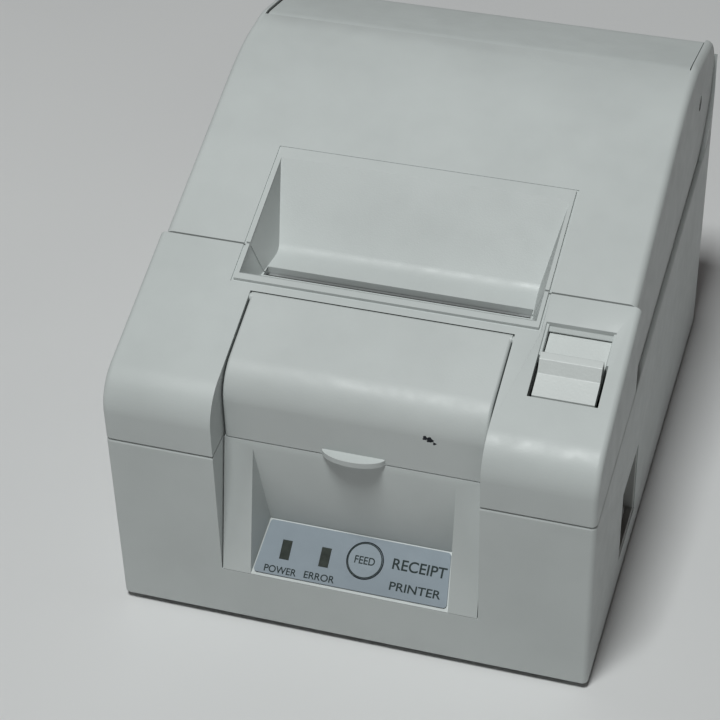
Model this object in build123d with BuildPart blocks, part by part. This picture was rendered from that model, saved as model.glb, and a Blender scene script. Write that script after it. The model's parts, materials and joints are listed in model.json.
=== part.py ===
from build123d import *
from math import acos, atan2, cos, pi, radians, sin, sqrt, tan
import os

# Receipt printer with an 80 mm paper roll bay under a hinged paper cover.
# Right-handed frame: +X to the right, +Y to the back, +Z up. The origin is the
# middle of the footprint, on the surface that the rubber feet stand on.
# Depths are counted from the front face and heights from the casing's bottom
# edge; at() turns such a pair into a point of the YZ plane. Sizes are in mm.

# ---------------------------------------------------------------- overall size
WIDTH = 145.0
DEPTH = 192.0
FOOT_HEIGHT = 2.5
CREST_HEIGHT = 122.6

# ---------------------------------------------------------------- casing walls
WALL = 2.4
SEAM_GAP = 0.4
SEAM_ROUND = 1.1
MOVING_GAP = 0.5
FRONT_CORNER = 1.8
FRONT_CORNER_INSIDE = 0.8
REAR_CORNER = 14.0
NOSE_RADIUS = 13.0
CREST_RADIUS = 72.0
SLOPE = 0.326
SLOPE_FOOT = 81.56
SEAM_HEIGHT = 62.6
SEAM_RISE = 0.096
REAR_STEP = 0.7

# ---------------------------------------------------------------- paper cover and hinge
LID_INSET = 1.4
LID_FRONT = 54.3
LID_REAR_EDGE = 36.5 + 11.5
HINGE_FROM_REAR = 36.5
HINGE_HEIGHT = 104.0
SKIRT_RADIUS = 25.9
HINGE_PIN_RADIUS = 2.5
LID_EDGE_RADIUS = 2.4

# ---------------------------------------------------------------- exit recess
RECESS_HALF = 44.4
RECESS_TAPER = 19.0
RECESS_FRONT = 42.5
RECESS_BACK = 87.8
SLOT_FRONT = 53.4
SLOT_BACK = 57.6
SLOT_SIDE = 90.8
SLOT_HALF = 40.6
RECESS_FLOOR = 89.2
RECESS_FLOOR_END = 66.0
RIM_WIDTH = 1.2
RIM_HEIGHT = 0.5
RIM_FRONT = 0.7
RIM_BACK = 1.0
RIM_CHANNEL = 0.7
RIM_CHANNEL_DEPTH = 0.4
TRAY_WALL = 2.2

# ---------------------------------------------------------------- centre bay, front cover
BAY_HALF = 39.4
BAY_SILL = 19.2
SILL_DROP = 1.0
COVER_FACE = 9.4
COVER_FOOT = 63.4
COVER_NOSE_RADIUS = 12.0
COVER_PIVOT_DEPTH = 38.3
COVER_BARREL = 1.6
COVER_BARREL_GAP = 0.35
COVER_PIN_REACH = 2.4
COVER_PIN_RADIUS = 1.2
LIP_HALF = 9.5
LIP_REACH = 4.2

# ---------------------------------------------------------------- bezel and control panel
BEZEL_TOP = 63.0
BEZEL_LEAN = 9.5
NICHE_HALF = 30.4
NICHE_TAPER = 10.0
NICHE_TOP = 61.0
LABEL_END = (13.9, 29.4)
LABEL_THICKNESS = 0.6
LED_WIDTH = 3.0
LED_LENGTH = 5.9
LED_ALONG = 8.5
POWER_LED_X = -21.3
ERROR_LED_X = -9.1
FEED_X = 3.0
FEED_ALONG = 9.8
FEED_RADIUS = 5.4
FEED_TRAVEL = 0.6

# ---------------------------------------------------------------- opening lever
WELL_X = (47.3, 67.3)
WELL_D = (20.6, 44.6)
LEVER_GAP = 1.1
LEVER_END_GAP = 0.35
WELL_SHOULDER = 0.75
WELL_LEDGE = 0.9
LEVER_PIVOT = (42.4, 88.6)
LEVER_PIN_RADIUS = 1.5

# ---------------------------------------------------------------- power switch
SWITCH_D = (44.0, 68.0)
SWITCH_H = (9.0, 36.0)
SWITCH_DEPTH = 12.0
SWITCH_RECESS = 3.4
ROCKER_HALF_WIDTH = 5.7
ROCKER_HALF_LENGTH = 9.7
ROCKER_TILT = 6.0

# ---------------------------------------------------------------- paper bay
BIN_CENTRE = (114.5, 60.0)
BIN_RADIUS = 42.0
BIN_HALF = 41.0
BIN_WALL = 2.0
BIN_FLANGE = 68.0

# ---------------------------------------------------------------- platen and print head
PLATEN = (70.0, 77.0)
PLATEN_RADIUS = 6.3
PLATEN_HALF = 40.0
SHAFT_RADIUS = 2.5
RUNNING = 0.05
BEARING_RADIUS = 4.9
BEARING_HUB = 4.0
CHEEK_X = (42.2, 44.0)
HOOK_X = (44.5, 45.9)
FRAME_X = (46.6, 47.8)
HEAD_ANGLE = radians(210)
HEAD_GAP = 0.25
HEAD_HALF = 39.5
HEAD_PIVOT = (3.5, -17.0)
PIVOT_RADIUS = 1.5

# ---------------------------------------------------------------- gears
MODULE = 0.6
PRESSURE = radians(25)
ADDENDUM = 0.57
DEDENDUM = 0.75
TOOTH_THINNING = 0.16
PLATEN_TEETH = 28
IDLER_TEETH = 40
SMALL_TEETH = 16
LARGE_TEETH = 44
PINION_TEETH = 14
RACK_PINION_TEETH = 16
CUTTER_TEETH = 32
TRAIN_X = -48.2
GEAR_WIDTH = 2.5
TRAIN_STEP = 3.0

# ---------------------------------------------------------------- motors and cutter
FEED_MOTOR = (49.0, 41.0)
FEED_MOTOR_RADIUS = 14.0
FEED_MOTOR_LENGTH = 22.0
CUTTER_SHAFT = (42.0, 76.0)
CUTTER_MOTOR_ANGLE = radians(217)
CUTTER_MOTOR_RADIUS = 10.0
CUTTER_MOTOR_X = (-38.0, -14.0)
BLADE_THICKNESS = 1.0
MOVING_BLADE_HEIGHT = 83.75
FIXED_BLADE_HEIGHT = 84.85
FIXED_BLADE_EDGE = 58.2
BLADE_HALF = 41.0
BLADE_TIP = 57.0
BLADE_VEE = 4.5
LOCK_SHAFT = (54.0, 61.0)

# ---------------------------------------------------------------- boards, base, screws
BASE_THICKNESS = 1.6
FOOT_RADIUS = 7.0
FOOT_INSET = 18.0
SCREW_RADIUS = 1.5
SCREW_HEAD = 2.9
BOARD_HEIGHT = 6.0
BOARD_THICKNESS = 1.5

# ---------------------------------------------------------------- derived values
HALF = WIDTH / 2
FRONT = -DEPTH / 2
SLOPE_ANGLE = atan2(SLOPE, 1)
HINGE = (DEPTH - HINGE_FROM_REAR, HINGE_HEIGHT)
LID_END = DEPTH - LID_REAR_EDGE
BOSS_X = (-HALF + 6.0, HALF - 6.0)
BOSS_D = (9.0, DEPTH - 20.0)
LID_HALF = HALF - LID_INSET
COVER_HALF = BAY_HALF - MOVING_GAP
RIM_HALF = RECESS_HALF + RIM_WIDTH
COVER_PIVOT = (COVER_PIVOT_DEPTH, SLOPE_FOOT + SLOPE * COVER_PIVOT_DEPTH - COVER_BARREL / cos(SLOPE_ANGLE))


def at(depth, height):
    """Point of the YZ plane at a depth behind the front face and a height above the bottom edge."""
    return (FRONT + depth, FOOT_HEIGHT + height)


def slope_height(depth, inset=0.0):
    """Height of the sloping top, or of a plane that lies inset under it."""
    return SLOPE_FOOT + SLOPE * depth - inset / cos(SLOPE_ANGLE)


def seam_height(depth):
    """Height of the side seam between the lower case and what stands on it."""
    return SEAM_HEIGHT + SEAM_RISE * depth


def on_outer_rim(edge):
    """Whether an edge runs along the outside of the lower case's top edge."""
    centre = edge.center()
    rim_height = FOOT_HEIGHT + seam_height(centre.Y - FRONT) - SEAM_GAP / 2
    outside = abs(centre.X) > HALF - FRONT_CORNER or centre.Y < FRONT + 1.5 or centre.Y > -FRONT - REAR_CORNER
    inside = abs(centre.X) < HALF - WALL + 0.1 and FRONT + WALL - 0.1 < centre.Y < -FRONT - WALL + 0.1
    return abs(centre.Z - rim_height) < 0.3 and outside and not inside


def distance(first, second):
    """Distance between two points of the side view."""
    return sqrt((first[0] - second[0]) ** 2 + (first[1] - second[1]) ** 2)


def heading(first, second):
    """Angle of the line from the first point to the second, from +Y towards +Z."""
    return atan2(second[1] - first[1], second[0] - first[0])


LID_ARC = distance(HINGE, (LID_FRONT, slope_height(LID_FRONT)))


def prism(points, x_low, x_high, mode=Mode.ADD):
    """Prism along X over a closed outline of (depth, height) points."""
    with BuildSketch(Plane.YZ.offset(x_low)) as outline:
        with BuildLine():
            Polyline(*[at(*point) for point in points], close=True)
        make_face()
    extrude(outline.sketch, amount=x_high - x_low, mode=mode)


def mirrored_prisms(points, x_low, x_high, mode=Mode.ADD):
    """The same prism on the right and on the left."""
    prism(points, x_low, x_high, mode)
    prism(points, -x_high, -x_low, mode)


def block(x_span, depth_span, height_span, mode=Mode.ADD):
    """Box between low and high limits of X, depth and height."""
    middle_x = (x_span[0] + x_span[1]) / 2
    middle_y, middle_z = at((depth_span[0] + depth_span[1]) / 2, (height_span[0] + height_span[1]) / 2)
    with Locations((middle_x, middle_y, middle_z)):
        Box(
            x_span[1] - x_span[0],
            depth_span[1] - depth_span[0],
            height_span[1] - height_span[0],
            mode=mode,
        )


def rod(x_span, centre, radius, mode=Mode.ADD):
    """Round bar along X."""
    plane = Plane(origin=(x_span[0], *at(*centre)), x_dir=(0, 1, 0), z_dir=(1, 0, 0))
    with Locations(plane):
        Cylinder(
            radius,
            x_span[1] - x_span[0],
            align=(Align.CENTER, Align.CENTER, Align.MIN),
            mode=mode,
        )


def post(x, depth, height_span, radius, mode=Mode.ADD):
    """Round bar along Z."""
    y, z = at(depth, height_span[0])
    with Locations((x, y, z)):
        Cylinder(
            radius,
            height_span[1] - height_span[0],
            align=(Align.CENTER, Align.CENTER, Align.MIN),
            mode=mode,
        )


def both(x_span):
    """The span on the right and its mirror image on the left."""
    return (x_span, (-x_span[1], -x_span[0]))


def finish(part, name):
    """Label a finished piece and write it out."""
    part.label = name
    export_step(part, f"parts/{name}.step")


# ---------------------------------------------------------------- shared outlines


def casing_side(inset=0.0):
    """Side view of the whole casing: sloping front, rounded crest and falling back."""
    nose = (inset, slope_height(inset, inset))
    crest_height = CREST_HEIGHT - inset
    crest = ((crest_height - slope_height(0, inset)) / SLOPE, crest_height)
    drop = (DEPTH - 45.5, crest_height)
    shoulder = (DEPTH - 14.5 - inset * 0.7, CREST_HEIGHT - 7.4 - inset)
    back = (DEPTH - 5.5 - inset, CREST_HEIGHT - 22.6)
    heel = (DEPTH - inset, CREST_HEIGHT - 62.6)
    with BuildSketch(Plane.YZ) as side:
        with BuildLine():
            corners = [(inset, 0), nose, crest, drop, shoulder, back, heel, (DEPTH - inset, 0)]
            Polyline(*[at(*corner) for corner in corners], close=True)
        make_face()
        rounds = [
            (nose, NOSE_RADIUS - inset),
            (crest, CREST_RADIUS - inset),
            (drop, 16.0),
            (shoulder, 14.0),
            (back, 30.0),
            (heel, 60.0),
        ]
        for corner, radius in rounds:
            y, z = at(*corner)
            fillet(side.vertices().sort_by_distance((y, z, 0))[0:1], radius=radius)
    return side.sketch


def recess_space(inset):
    """Tapered space of the paper exit; a negative inset gives the tray around it."""
    plane = Plane(
        origin=(0, *at(0, SLOPE_FOOT)),
        x_dir=(1, 0, 0),
        z_dir=(0, -sin(SLOPE_ANGLE), cos(SLOPE_ANGLE)),
    )
    floor = RECESS_FLOOR + inset
    with BuildPart(mode=Mode.PRIVATE) as space:
        with BuildSketch(plane) as mouth:
            with Locations((0, 66)):
                Rectangle(2 * (RECESS_HALF - inset), 160)
        extrude(mouth.sketch, amount=-40, taper=RECESS_TAPER)
        extrude(mouth.sketch, amount=6)
        with BuildSketch(Plane.YZ) as side:
            with BuildLine():
                corners = [
                    (RECESS_FRONT + inset * 1.6 - 1.0, 120),
                    (RECESS_FRONT + inset * 1.6 - 1.0, 98),
                    (SLOT_FRONT - 0.6, floor),
                    (RECESS_FLOOR_END - inset * 0.4, floor),
                    (RECESS_BACK - inset * 1.4, slope_height(RECESS_BACK) + 2.6),
                    (RECESS_BACK - inset * 1.4, 120),
                ]
                Polyline(*[at(*corner) for corner in corners], close=True)
            make_face()
            y, z = at(RECESS_FLOOR_END - inset * 0.4, floor)
            fillet(side.vertices().sort_by_distance((y, z, 0))[0:1], radius=6.0 + inset)
        extrude(side.sketch, amount=70, both=True, mode=Mode.INTERSECT)
    return space.part


def rim_channel(start, end):
    """Shallow channel in the sloping top that sets the exit's rim off."""
    low = slope_height(0, RIM_CHANNEL_DEPTH) - slope_height(0)
    first = start - RIM_CHANNEL
    last = end + RIM_CHANNEL
    outline = [
        (first, slope_height(first) + low),
        (first, slope_height(first) + 4),
        (last, slope_height(last) + 4),
        (last, slope_height(last) + low),
    ]
    prism(outline, -RIM_HALF - RIM_CHANNEL, RIM_HALF + RIM_CHANNEL, Mode.SUBTRACT)


def rim_bar(start, end):
    """Raised band around the exit, still without the exit's own space."""
    outline = [
        (start, slope_height(start, 1)),
        (start, slope_height(start, -RIM_HEIGHT)),
        (end, slope_height(end, -RIM_HEIGHT)),
        (end, slope_height(end, 1)),
    ]
    prism(outline, -RIM_HALF, RIM_HALF)


def gear_points(teeth, centre, phase):
    """Outline of a spur gear with involute flanks around a centre of the side view."""
    pitch_radius = MODULE * teeth / 2
    base_radius = pitch_radius * cos(PRESSURE)
    tip_radius = pitch_radius + ADDENDUM
    root_radius = pitch_radius - DEDENDUM
    start_radius = max(base_radius, root_radius)
    pitch_half = pi / (2 * teeth) - TOOTH_THINNING / (2 * pitch_radius) + tan(PRESSURE) - PRESSURE
    flank = [(root_radius, pitch_half)] if start_radius > root_radius else []
    for step in range(3):
        radius = start_radius + (tip_radius - start_radius) * step / 2
        slant = acos(min(1.0, base_radius / radius))
        flank.append((radius, pitch_half - tan(slant) + slant))
    points = []
    for tooth in range(teeth):
        middle = phase + 2 * pi * tooth / teeth
        rising = [(radius, middle - half) for radius, half in flank]
        falling = [(radius, middle + half) for radius, half in reversed(flank)]
        for radius, angle in rising + falling:
            points.append((centre[0] + radius * cos(angle), centre[1] + radius * sin(angle)))
    return points


def mesh_phase(phase, teeth, next_teeth, angle):
    """Phase that puts the next gear's gap on this gear's tooth along the line of centres."""
    return angle + pi + pi / next_teeth + (angle - phase) * teeth / next_teeth


os.makedirs("parts", exist_ok=True)

# ---------------------------------------------------------------- directions of the platen
OUT_ANGLE = heading(HINGE, PLATEN) - pi / 2
OUTWARD = (cos(OUT_ANGLE), sin(OUT_ANGLE))
ACROSS = (OUTWARD[1], -OUTWARD[0])


def by_platen(across, outward):
    """Point beside the platen: across the bearing slots, and along them towards their mouths."""
    return (
        PLATEN[0] + across * ACROSS[0] + outward * OUTWARD[0],
        PLATEN[1] + across * ACROSS[1] + outward * OUTWARD[1],
    )


HEAD_NORMAL = (cos(HEAD_ANGLE), sin(HEAD_ANGLE))
HEAD_UP = (HEAD_NORMAL[1], -HEAD_NORMAL[0])


def by_head(away, up):
    """Point at the heating line: away from the platen's surface, and up along the head."""
    reach = PLATEN_RADIUS + away
    return (
        PLATEN[0] + reach * HEAD_NORMAL[0] + up * HEAD_UP[0],
        PLATEN[1] + reach * HEAD_NORMAL[1] + up * HEAD_UP[1],
    )


HEAD_AXIS = by_head(*HEAD_PIVOT)

# ---------------------------------------------------------------- gear centres
IDLER = by_platen(0, -MODULE * (PLATEN_TEETH + IDLER_TEETH) / 2)
TO_IDLER = MODULE * (IDLER_TEETH + SMALL_TEETH) / 2
TO_MOTOR = MODULE * (LARGE_TEETH + PINION_TEETH) / 2
IDLER_TO_MOTOR = distance(IDLER, FEED_MOTOR)
ALONG = (TO_IDLER ** 2 - TO_MOTOR ** 2 + IDLER_TO_MOTOR ** 2) / (2 * IDLER_TO_MOTOR)
ASIDE = sqrt(TO_IDLER ** 2 - ALONG ** 2)
RUN = heading(IDLER, FEED_MOTOR)
REDUCER = (
    IDLER[0] + ALONG * cos(RUN) + ASIDE * sin(RUN),
    IDLER[1] + ALONG * sin(RUN) - ASIDE * cos(RUN),
)
CUTTER_CENTRES = MODULE * (CUTTER_TEETH + PINION_TEETH) / 2
CUTTER_MOTOR = (
    CUTTER_SHAFT[0] + CUTTER_CENTRES * cos(CUTTER_MOTOR_ANGLE),
    CUTTER_SHAFT[1] + CUTTER_CENTRES * sin(CUTTER_MOTOR_ANGLE),
)

# ================================================================ casing
# Lower case: an open tub with the centre bay cut out of its front wall.
with BuildPart() as lower_case:
    with BuildSketch(Plane.XY.offset(FOOT_HEIGHT)) as footprint:
        Rectangle(WIDTH, DEPTH)
        fillet(footprint.vertices().group_by(Axis.Y)[0], radius=FRONT_CORNER)
        fillet(footprint.vertices().group_by(Axis.Y)[-1], radius=REAR_CORNER)
    extrude(amount=CREST_HEIGHT)
    with BuildSketch(Plane.XY.offset(FOOT_HEIGHT)) as hollow:
        Rectangle(WIDTH - 2 * WALL, DEPTH - 2 * WALL)
        fillet(hollow.vertices().group_by(Axis.Y)[0], radius=FRONT_CORNER_INSIDE)
        fillet(hollow.vertices().group_by(Axis.Y)[-1], radius=REAR_CORNER - WALL)
    extrude(amount=CREST_HEIGHT, mode=Mode.SUBTRACT)
    prism(
        [
            (-1, -1),
            (DEPTH + 1, -1),
            (DEPTH + 1, seam_height(DEPTH + 1) - SEAM_GAP / 2),
            (-1, seam_height(-1) - SEAM_GAP / 2),
        ],
        -HALF - 1,
        HALF + 1,
        Mode.INTERSECT,
    )
    block((-BAY_HALF, BAY_HALF), (-1, WALL + 1), (BAY_SILL - SILL_DROP, 90), Mode.SUBTRACT)
    mirrored_prisms(
        [
            (0, BAY_SILL - 2),
            (0, seam_height(0) - SEAM_GAP / 2),
            (17, seam_height(17) - SEAM_GAP / 2),
            (17, BAY_SILL - 2),
        ],
        BAY_HALF,
        BAY_HALF + 2,
    )
    outer_rim = lower_case.edges().filter_by(lambda edge: on_outer_rim(edge))
    fillet(outer_rim, radius=SEAM_ROUND)
    # tongue that closes the seam under the towers from inside
    for side in both((HALF - WALL - 1.4, HALF - WALL - 0.2)):
        prism(
            [
                (8, seam_height(8) - 6),
                (8, seam_height(8) + 2.5),
                (LID_FRONT - 2, seam_height(LID_FRONT) + 2.5),
                (LID_FRONT - 2, seam_height(LID_FRONT) - 6),
            ],
            *side,
        )
        prism(
            [
                (8, seam_height(8) - 6),
                (8, seam_height(8) - 3),
                (LID_FRONT - 2, seam_height(LID_FRONT) - 3),
                (LID_FRONT - 2, seam_height(LID_FRONT) - 6),
            ],
            min(side[0], side[1]) - 0.2,
            max(side[0], side[1]) + 0.2,
        )
    # ledges that carry the paper bay's flange
    for side in both((HALF - WALL - 4.0, HALF - WALL + 0.5)):
        block(side, (100, 150), (BIN_FLANGE - 7, BIN_FLANGE))
    # screw bosses over the base plate
    for x in BOSS_X:
        for depth in BOSS_D:
            post(x, depth, (BASE_THICKNESS, 14), 4.0)
            post(x, depth, (BASE_THICKNESS - 1, 12), SCREW_RADIUS, Mode.SUBTRACT)
    # pocket of the power switch in the right wall, and the connector window at the back
    block((HALF - WALL - 1, HALF + 1), SWITCH_D, SWITCH_H, Mode.SUBTRACT)
    block((-48, 48), (DEPTH - WALL - 1, DEPTH + 1), (4, 32), Mode.SUBTRACT)
finish(lower_case.part, "lower_case")

# Top case: the two towers, the band behind the front cover and the exit's front half.
with BuildPart() as top_hollow:
    extrude(casing_side(WALL), amount=HALF - WALL, both=True)
    prism([(-1, 50), (80, 50), (80, 140), (-1, 140)], -HALF, HALF, Mode.INTERSECT)
    bay_wall = [(0, 50), (16, 50), (16, 84), (COVER_PIVOT[0] + 2.5, 86), (COVER_PIVOT[0] + 2.5, 120), (0, 120)]
    mirrored_prisms(bay_wall, BAY_HALF, BAY_HALF + 2, Mode.SUBTRACT)

with BuildPart() as front_tray:
    add(recess_space(-TRAY_WALL))
    block((-80, 80), (COVER_PIVOT[0] + SEAM_GAP, LID_FRONT + 3), (60, 130), Mode.INTERSECT)
    prism([(0, 0), (0, slope_height(0, 0.6)), (90, slope_height(90, 0.6)), (90, 0)], -80, 80, Mode.INTERSECT)

with BuildPart() as top_case:
    extrude(casing_side(), amount=HALF, both=True)
    front_side = top_case.faces().sort_by(Axis.X)
    side_edges = front_side[0].edges() + front_side[-1].edges()
    fillet(side_edges.filter_by(lambda edge: edge.center().Y < FRONT + 60), radius=FRONT_CORNER)
    prism(
        [
            (-1, seam_height(-1) + SEAM_GAP / 2),
            (LID_FRONT + 10, seam_height(LID_FRONT + 10) + SEAM_GAP / 2),
            (LID_FRONT + 10, 140),
            (-1, 140),
        ],
        -HALF - 1,
        HALF + 1,
        Mode.INTERSECT,
    )
    for side in both((LID_HALF, HALF + 1)):
        block(side, (LID_FRONT - 0.3, LID_FRONT + 20), (60, 140), Mode.SUBTRACT)
    add(top_hollow.part, mode=Mode.SUBTRACT)
    block((-BAY_HALF, BAY_HALF), (-1, COVER_PIVOT[0] + SEAM_GAP), (50, 130), Mode.SUBTRACT)
    rim_channel(RECESS_FRONT - RIM_FRONT, LID_FRONT + 3)
    add(front_tray.part)
    rim_bar(RECESS_FRONT - RIM_FRONT, LID_FRONT + 3)
    add(recess_space(0), mode=Mode.SUBTRACT)
    # the rear edge is an arc about the cover's hinge, the front edge follows the cover's barrel
    rod((-HALF - 1, HALF + 1), HINGE, LID_ARC + MOVING_GAP, Mode.SUBTRACT)
    rod((-BAY_HALF, BAY_HALF), COVER_PIVOT, COVER_BARREL + COVER_BARREL_GAP, Mode.SUBTRACT)
    block((-CHEEK_X[1] - 2.7, CHEEK_X[1] + 2.7), (SLOT_FRONT, 80), (60, RECESS_FLOOR - TRAY_WALL + 0.2), Mode.SUBTRACT)
    block((-SLOT_HALF, SLOT_HALF), (SLOT_FRONT, 80), (60, SLOT_SIDE), Mode.SUBTRACT)
    # lever well with short walls
    block((WELL_X[0] - 1.6, WELL_X[1] + 1.6), (WELL_D[0] - 1.6, WELL_D[1] + 1.6), (82, slope_height(WELL_D[0] - 1.6) - 1))
    block(WELL_X, WELL_D, (60, 130), Mode.SUBTRACT)
    # shoulders that close the side gaps behind the lever's ridge
    shoulder = [(34.5, slope_height(34.5, 4.4)), (34.5, slope_height(34.5, 0.7)),
                (WELL_D[1], slope_height(WELL_D[1], 0.7)), (WELL_D[1], slope_height(WELL_D[1], 4.4))]
    prism(shoulder, WELL_X[0], WELL_X[0] + WELL_SHOULDER)
    prism(shoulder, WELL_X[1] - WELL_SHOULDER, WELL_X[1])
    # ledge over the lever's rear end
    ledge_tip = WELL_D[1] - WELL_LEDGE
    ledge = [(ledge_tip, slope_height(ledge_tip, 2.4)), (ledge_tip, slope_height(ledge_tip, 2.1)),
             (WELL_D[1] + 0.2, slope_height(WELL_D[1] + 0.2, 1.2)), (WELL_D[1] + 0.2, slope_height(WELL_D[1] + 0.2, 2.4))]
    prism(ledge, *WELL_X)
    rod((WELL_X[0] - 1.6, WELL_X[1] + 1.6), LEVER_PIVOT, LEVER_PIN_RADIUS + RUNNING, Mode.SUBTRACT)
    for side in both((BAY_HALF - 1, COVER_HALF + COVER_PIN_REACH + 0.5)):
        rod(side, COVER_PIVOT, COVER_PIN_RADIUS + RUNNING, Mode.SUBTRACT)
finish(top_case.part, "top_case")

# Rear cover: fixed shell between the paper cover's ears.
with BuildPart() as rear_hollow:
    with BuildSketch(Plane.XY.offset(FOOT_HEIGHT)) as rear_inner:
        Rectangle(WIDTH - 2 * WALL - 2 * LID_INSET - 4, DEPTH - 2 * WALL)
        fillet(rear_inner.vertices().group_by(Axis.Y)[-1], radius=REAR_CORNER - WALL)
    extrude(amount=CREST_HEIGHT + 10)
    extrude(casing_side(REAR_STEP + WALL), amount=HALF, both=True, mode=Mode.INTERSECT)

with BuildPart() as rear_cover:
    with BuildSketch(Plane.XY.offset(FOOT_HEIGHT)) as rear_plan:
        Rectangle(WIDTH, DEPTH)
        fillet(rear_plan.vertices().group_by(Axis.Y)[-1], radius=REAR_CORNER)
    extrude(amount=CREST_HEIGHT + 10)
    extrude(casing_side(REAR_STEP), amount=HALF + 1, both=True, mode=Mode.INTERSECT)
    add(rear_hollow.part, mode=Mode.SUBTRACT)
    prism(
        [
            (LID_END + MOVING_GAP, seam_height(LID_END) + SEAM_GAP / 2),
            (DEPTH + 1, seam_height(DEPTH + 1) + SEAM_GAP / 2),
            (DEPTH + 1, 140),
            (LID_END + MOVING_GAP, 140),
        ],
        -HALF - 1,
        HALF + 1,
        Mode.INTERSECT,
    )
    for side in both((LID_HALF - WALL - MOVING_GAP, HALF + 1)):
        block(side, (100, HINGE[0]), (50, 140), Mode.SUBTRACT)
        rod(side, HINGE, SKIRT_RADIUS + MOVING_GAP, Mode.SUBTRACT)
    for side in both((LID_HALF - WALL - MOVING_GAP - 6, LID_HALF - WALL - MOVING_GAP)):
        rod(side, HINGE, 6.5)
        rod(side, HINGE, HINGE_PIN_RADIUS, Mode.SUBTRACT)
finish(rear_cover.part, "rear_cover")

with BuildPart() as hinge_pins:
    for side in both((LID_HALF - WALL - MOVING_GAP - 5.5, LID_HALF - 0.3)):
        rod(side, HINGE, HINGE_PIN_RADIUS)
finish(hinge_pins.part, "hinge_pins")

# Paper cover: crest panel, side skirts with ears, and the back half of the exit.
with BuildPart() as lid_hollow:
    extrude(casing_side(WALL), amount=LID_HALF - WALL, both=True)

with BuildPart() as skirt_waste:
    block((-HALF, HALF), (HINGE[0], DEPTH), (50, 140))
    rod((-HALF, HALF), HINGE, SKIRT_RADIUS, Mode.SUBTRACT)

with BuildPart() as rear_tray:
    add(recess_space(-TRAY_WALL))
    block((-80, 80), (LID_FRONT, 110), (60, 130), Mode.INTERSECT)
    rod((-80, 80), HINGE, LID_ARC, Mode.INTERSECT)
    prism([(0, 0), (0, slope_height(0, 0.6)), (110, slope_height(110, 0.6)), (110, 0)], -80, 80, Mode.INTERSECT)

with BuildPart() as paper_cover:
    extrude(casing_side(), amount=LID_HALF, both=True)
    cover_side = paper_cover.faces().sort_by(Axis.X)
    cover_edges = cover_side[0].edges() + cover_side[-1].edges()
    fillet(
        cover_edges.filter_by(lambda edge: edge.center().Z > FOOT_HEIGHT + 84 and edge.center().Y < FRONT + DEPTH - 30),
        radius=LID_EDGE_RADIUS,
    )
    add(lid_hollow.part, mode=Mode.SUBTRACT)
    # everything in front of the seam arc and behind the ears goes
    prism(
        [
            (LID_FRONT - 1, seam_height(LID_FRONT - 1) + SEAM_GAP),
            (HINGE[0], seam_height(HINGE[0]) + SEAM_GAP),
            (HINGE[0] + SKIRT_RADIUS, seam_height(HINGE[0]) + SEAM_GAP),
            (HINGE[0] + SKIRT_RADIUS, 140),
            (LID_FRONT - 1, 140),
        ],
        -HALF,
        HALF,
        Mode.INTERSECT,
    )
    rod((-HALF, HALF), HINGE, LID_ARC, Mode.INTERSECT)
    add(skirt_waste.part, mode=Mode.SUBTRACT)
    block((-LID_HALF + WALL, LID_HALF - WALL), (LID_END, DEPTH), (50, 140), Mode.SUBTRACT)
    # the crest's rear edge is bevelled along its own path round the hinge
    rod((-LID_HALF + WALL, LID_HALF - WALL), HINGE, distance(HINGE, (LID_END, CREST_HEIGHT - 0.1)), Mode.SUBTRACT)
    # tray of the exit recess with its raised rim
    rim_channel(LID_FRONT - 3, RECESS_BACK + RIM_BACK)
    add(rear_tray.part)
    rim_bar(LID_FRONT, RECESS_BACK + RIM_BACK)
    add(recess_space(0), mode=Mode.SUBTRACT)
    block((-RECESS_HALF - 2.6, RECESS_HALF + 2.6), (40, SLOT_BACK), (50, RECESS_FLOOR - TRAY_WALL + 0.2), Mode.SUBTRACT)
    block((-SLOT_HALF, SLOT_HALF), (40, SLOT_BACK), (50, SLOT_SIDE), Mode.SUBTRACT)
    for side in both((LID_HALF - WALL - 1, LID_HALF + 1)):
        rod(side, HINGE, HINGE_PIN_RADIUS + RUNNING, Mode.SUBTRACT)
finish(paper_cover.part, "paper_cover")

# Front cover: shell flush with the slope, hinged along its top edge, with a finger lip.
COVER_INSIDE = (COVER_FACE + TRAY_WALL, slope_height(COVER_FACE + TRAY_WALL, TRAY_WALL))
with BuildPart() as cover_hollow:
    with BuildSketch(Plane.YZ) as cover_inner_view:
        with BuildLine():
            corners = [
                (COVER_INSIDE[0], COVER_FOOT - 1),
                COVER_INSIDE,
                (COVER_PIVOT[0] + 9, slope_height(COVER_PIVOT[0] + 9, TRAY_WALL)),
                (COVER_PIVOT[0] + 9, COVER_FOOT - 1),
            ]
            Polyline(*[at(*corner) for corner in corners], close=True)
        make_face()
        y, z = at(*COVER_INSIDE)
        inner_nose = cover_inner_view.vertices().sort_by_distance((y, z, 0))[0:1]
        fillet(inner_nose, radius=COVER_NOSE_RADIUS - TRAY_WALL)
    extrude(cover_inner_view.sketch, amount=COVER_HALF - 2, both=True)
    block((-80, 80), (COVER_FACE + 8, 80), (COVER_FOOT - 2, 82))
    block((-80, 80), (22, 80), (COVER_FOOT - 2, 86))

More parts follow.
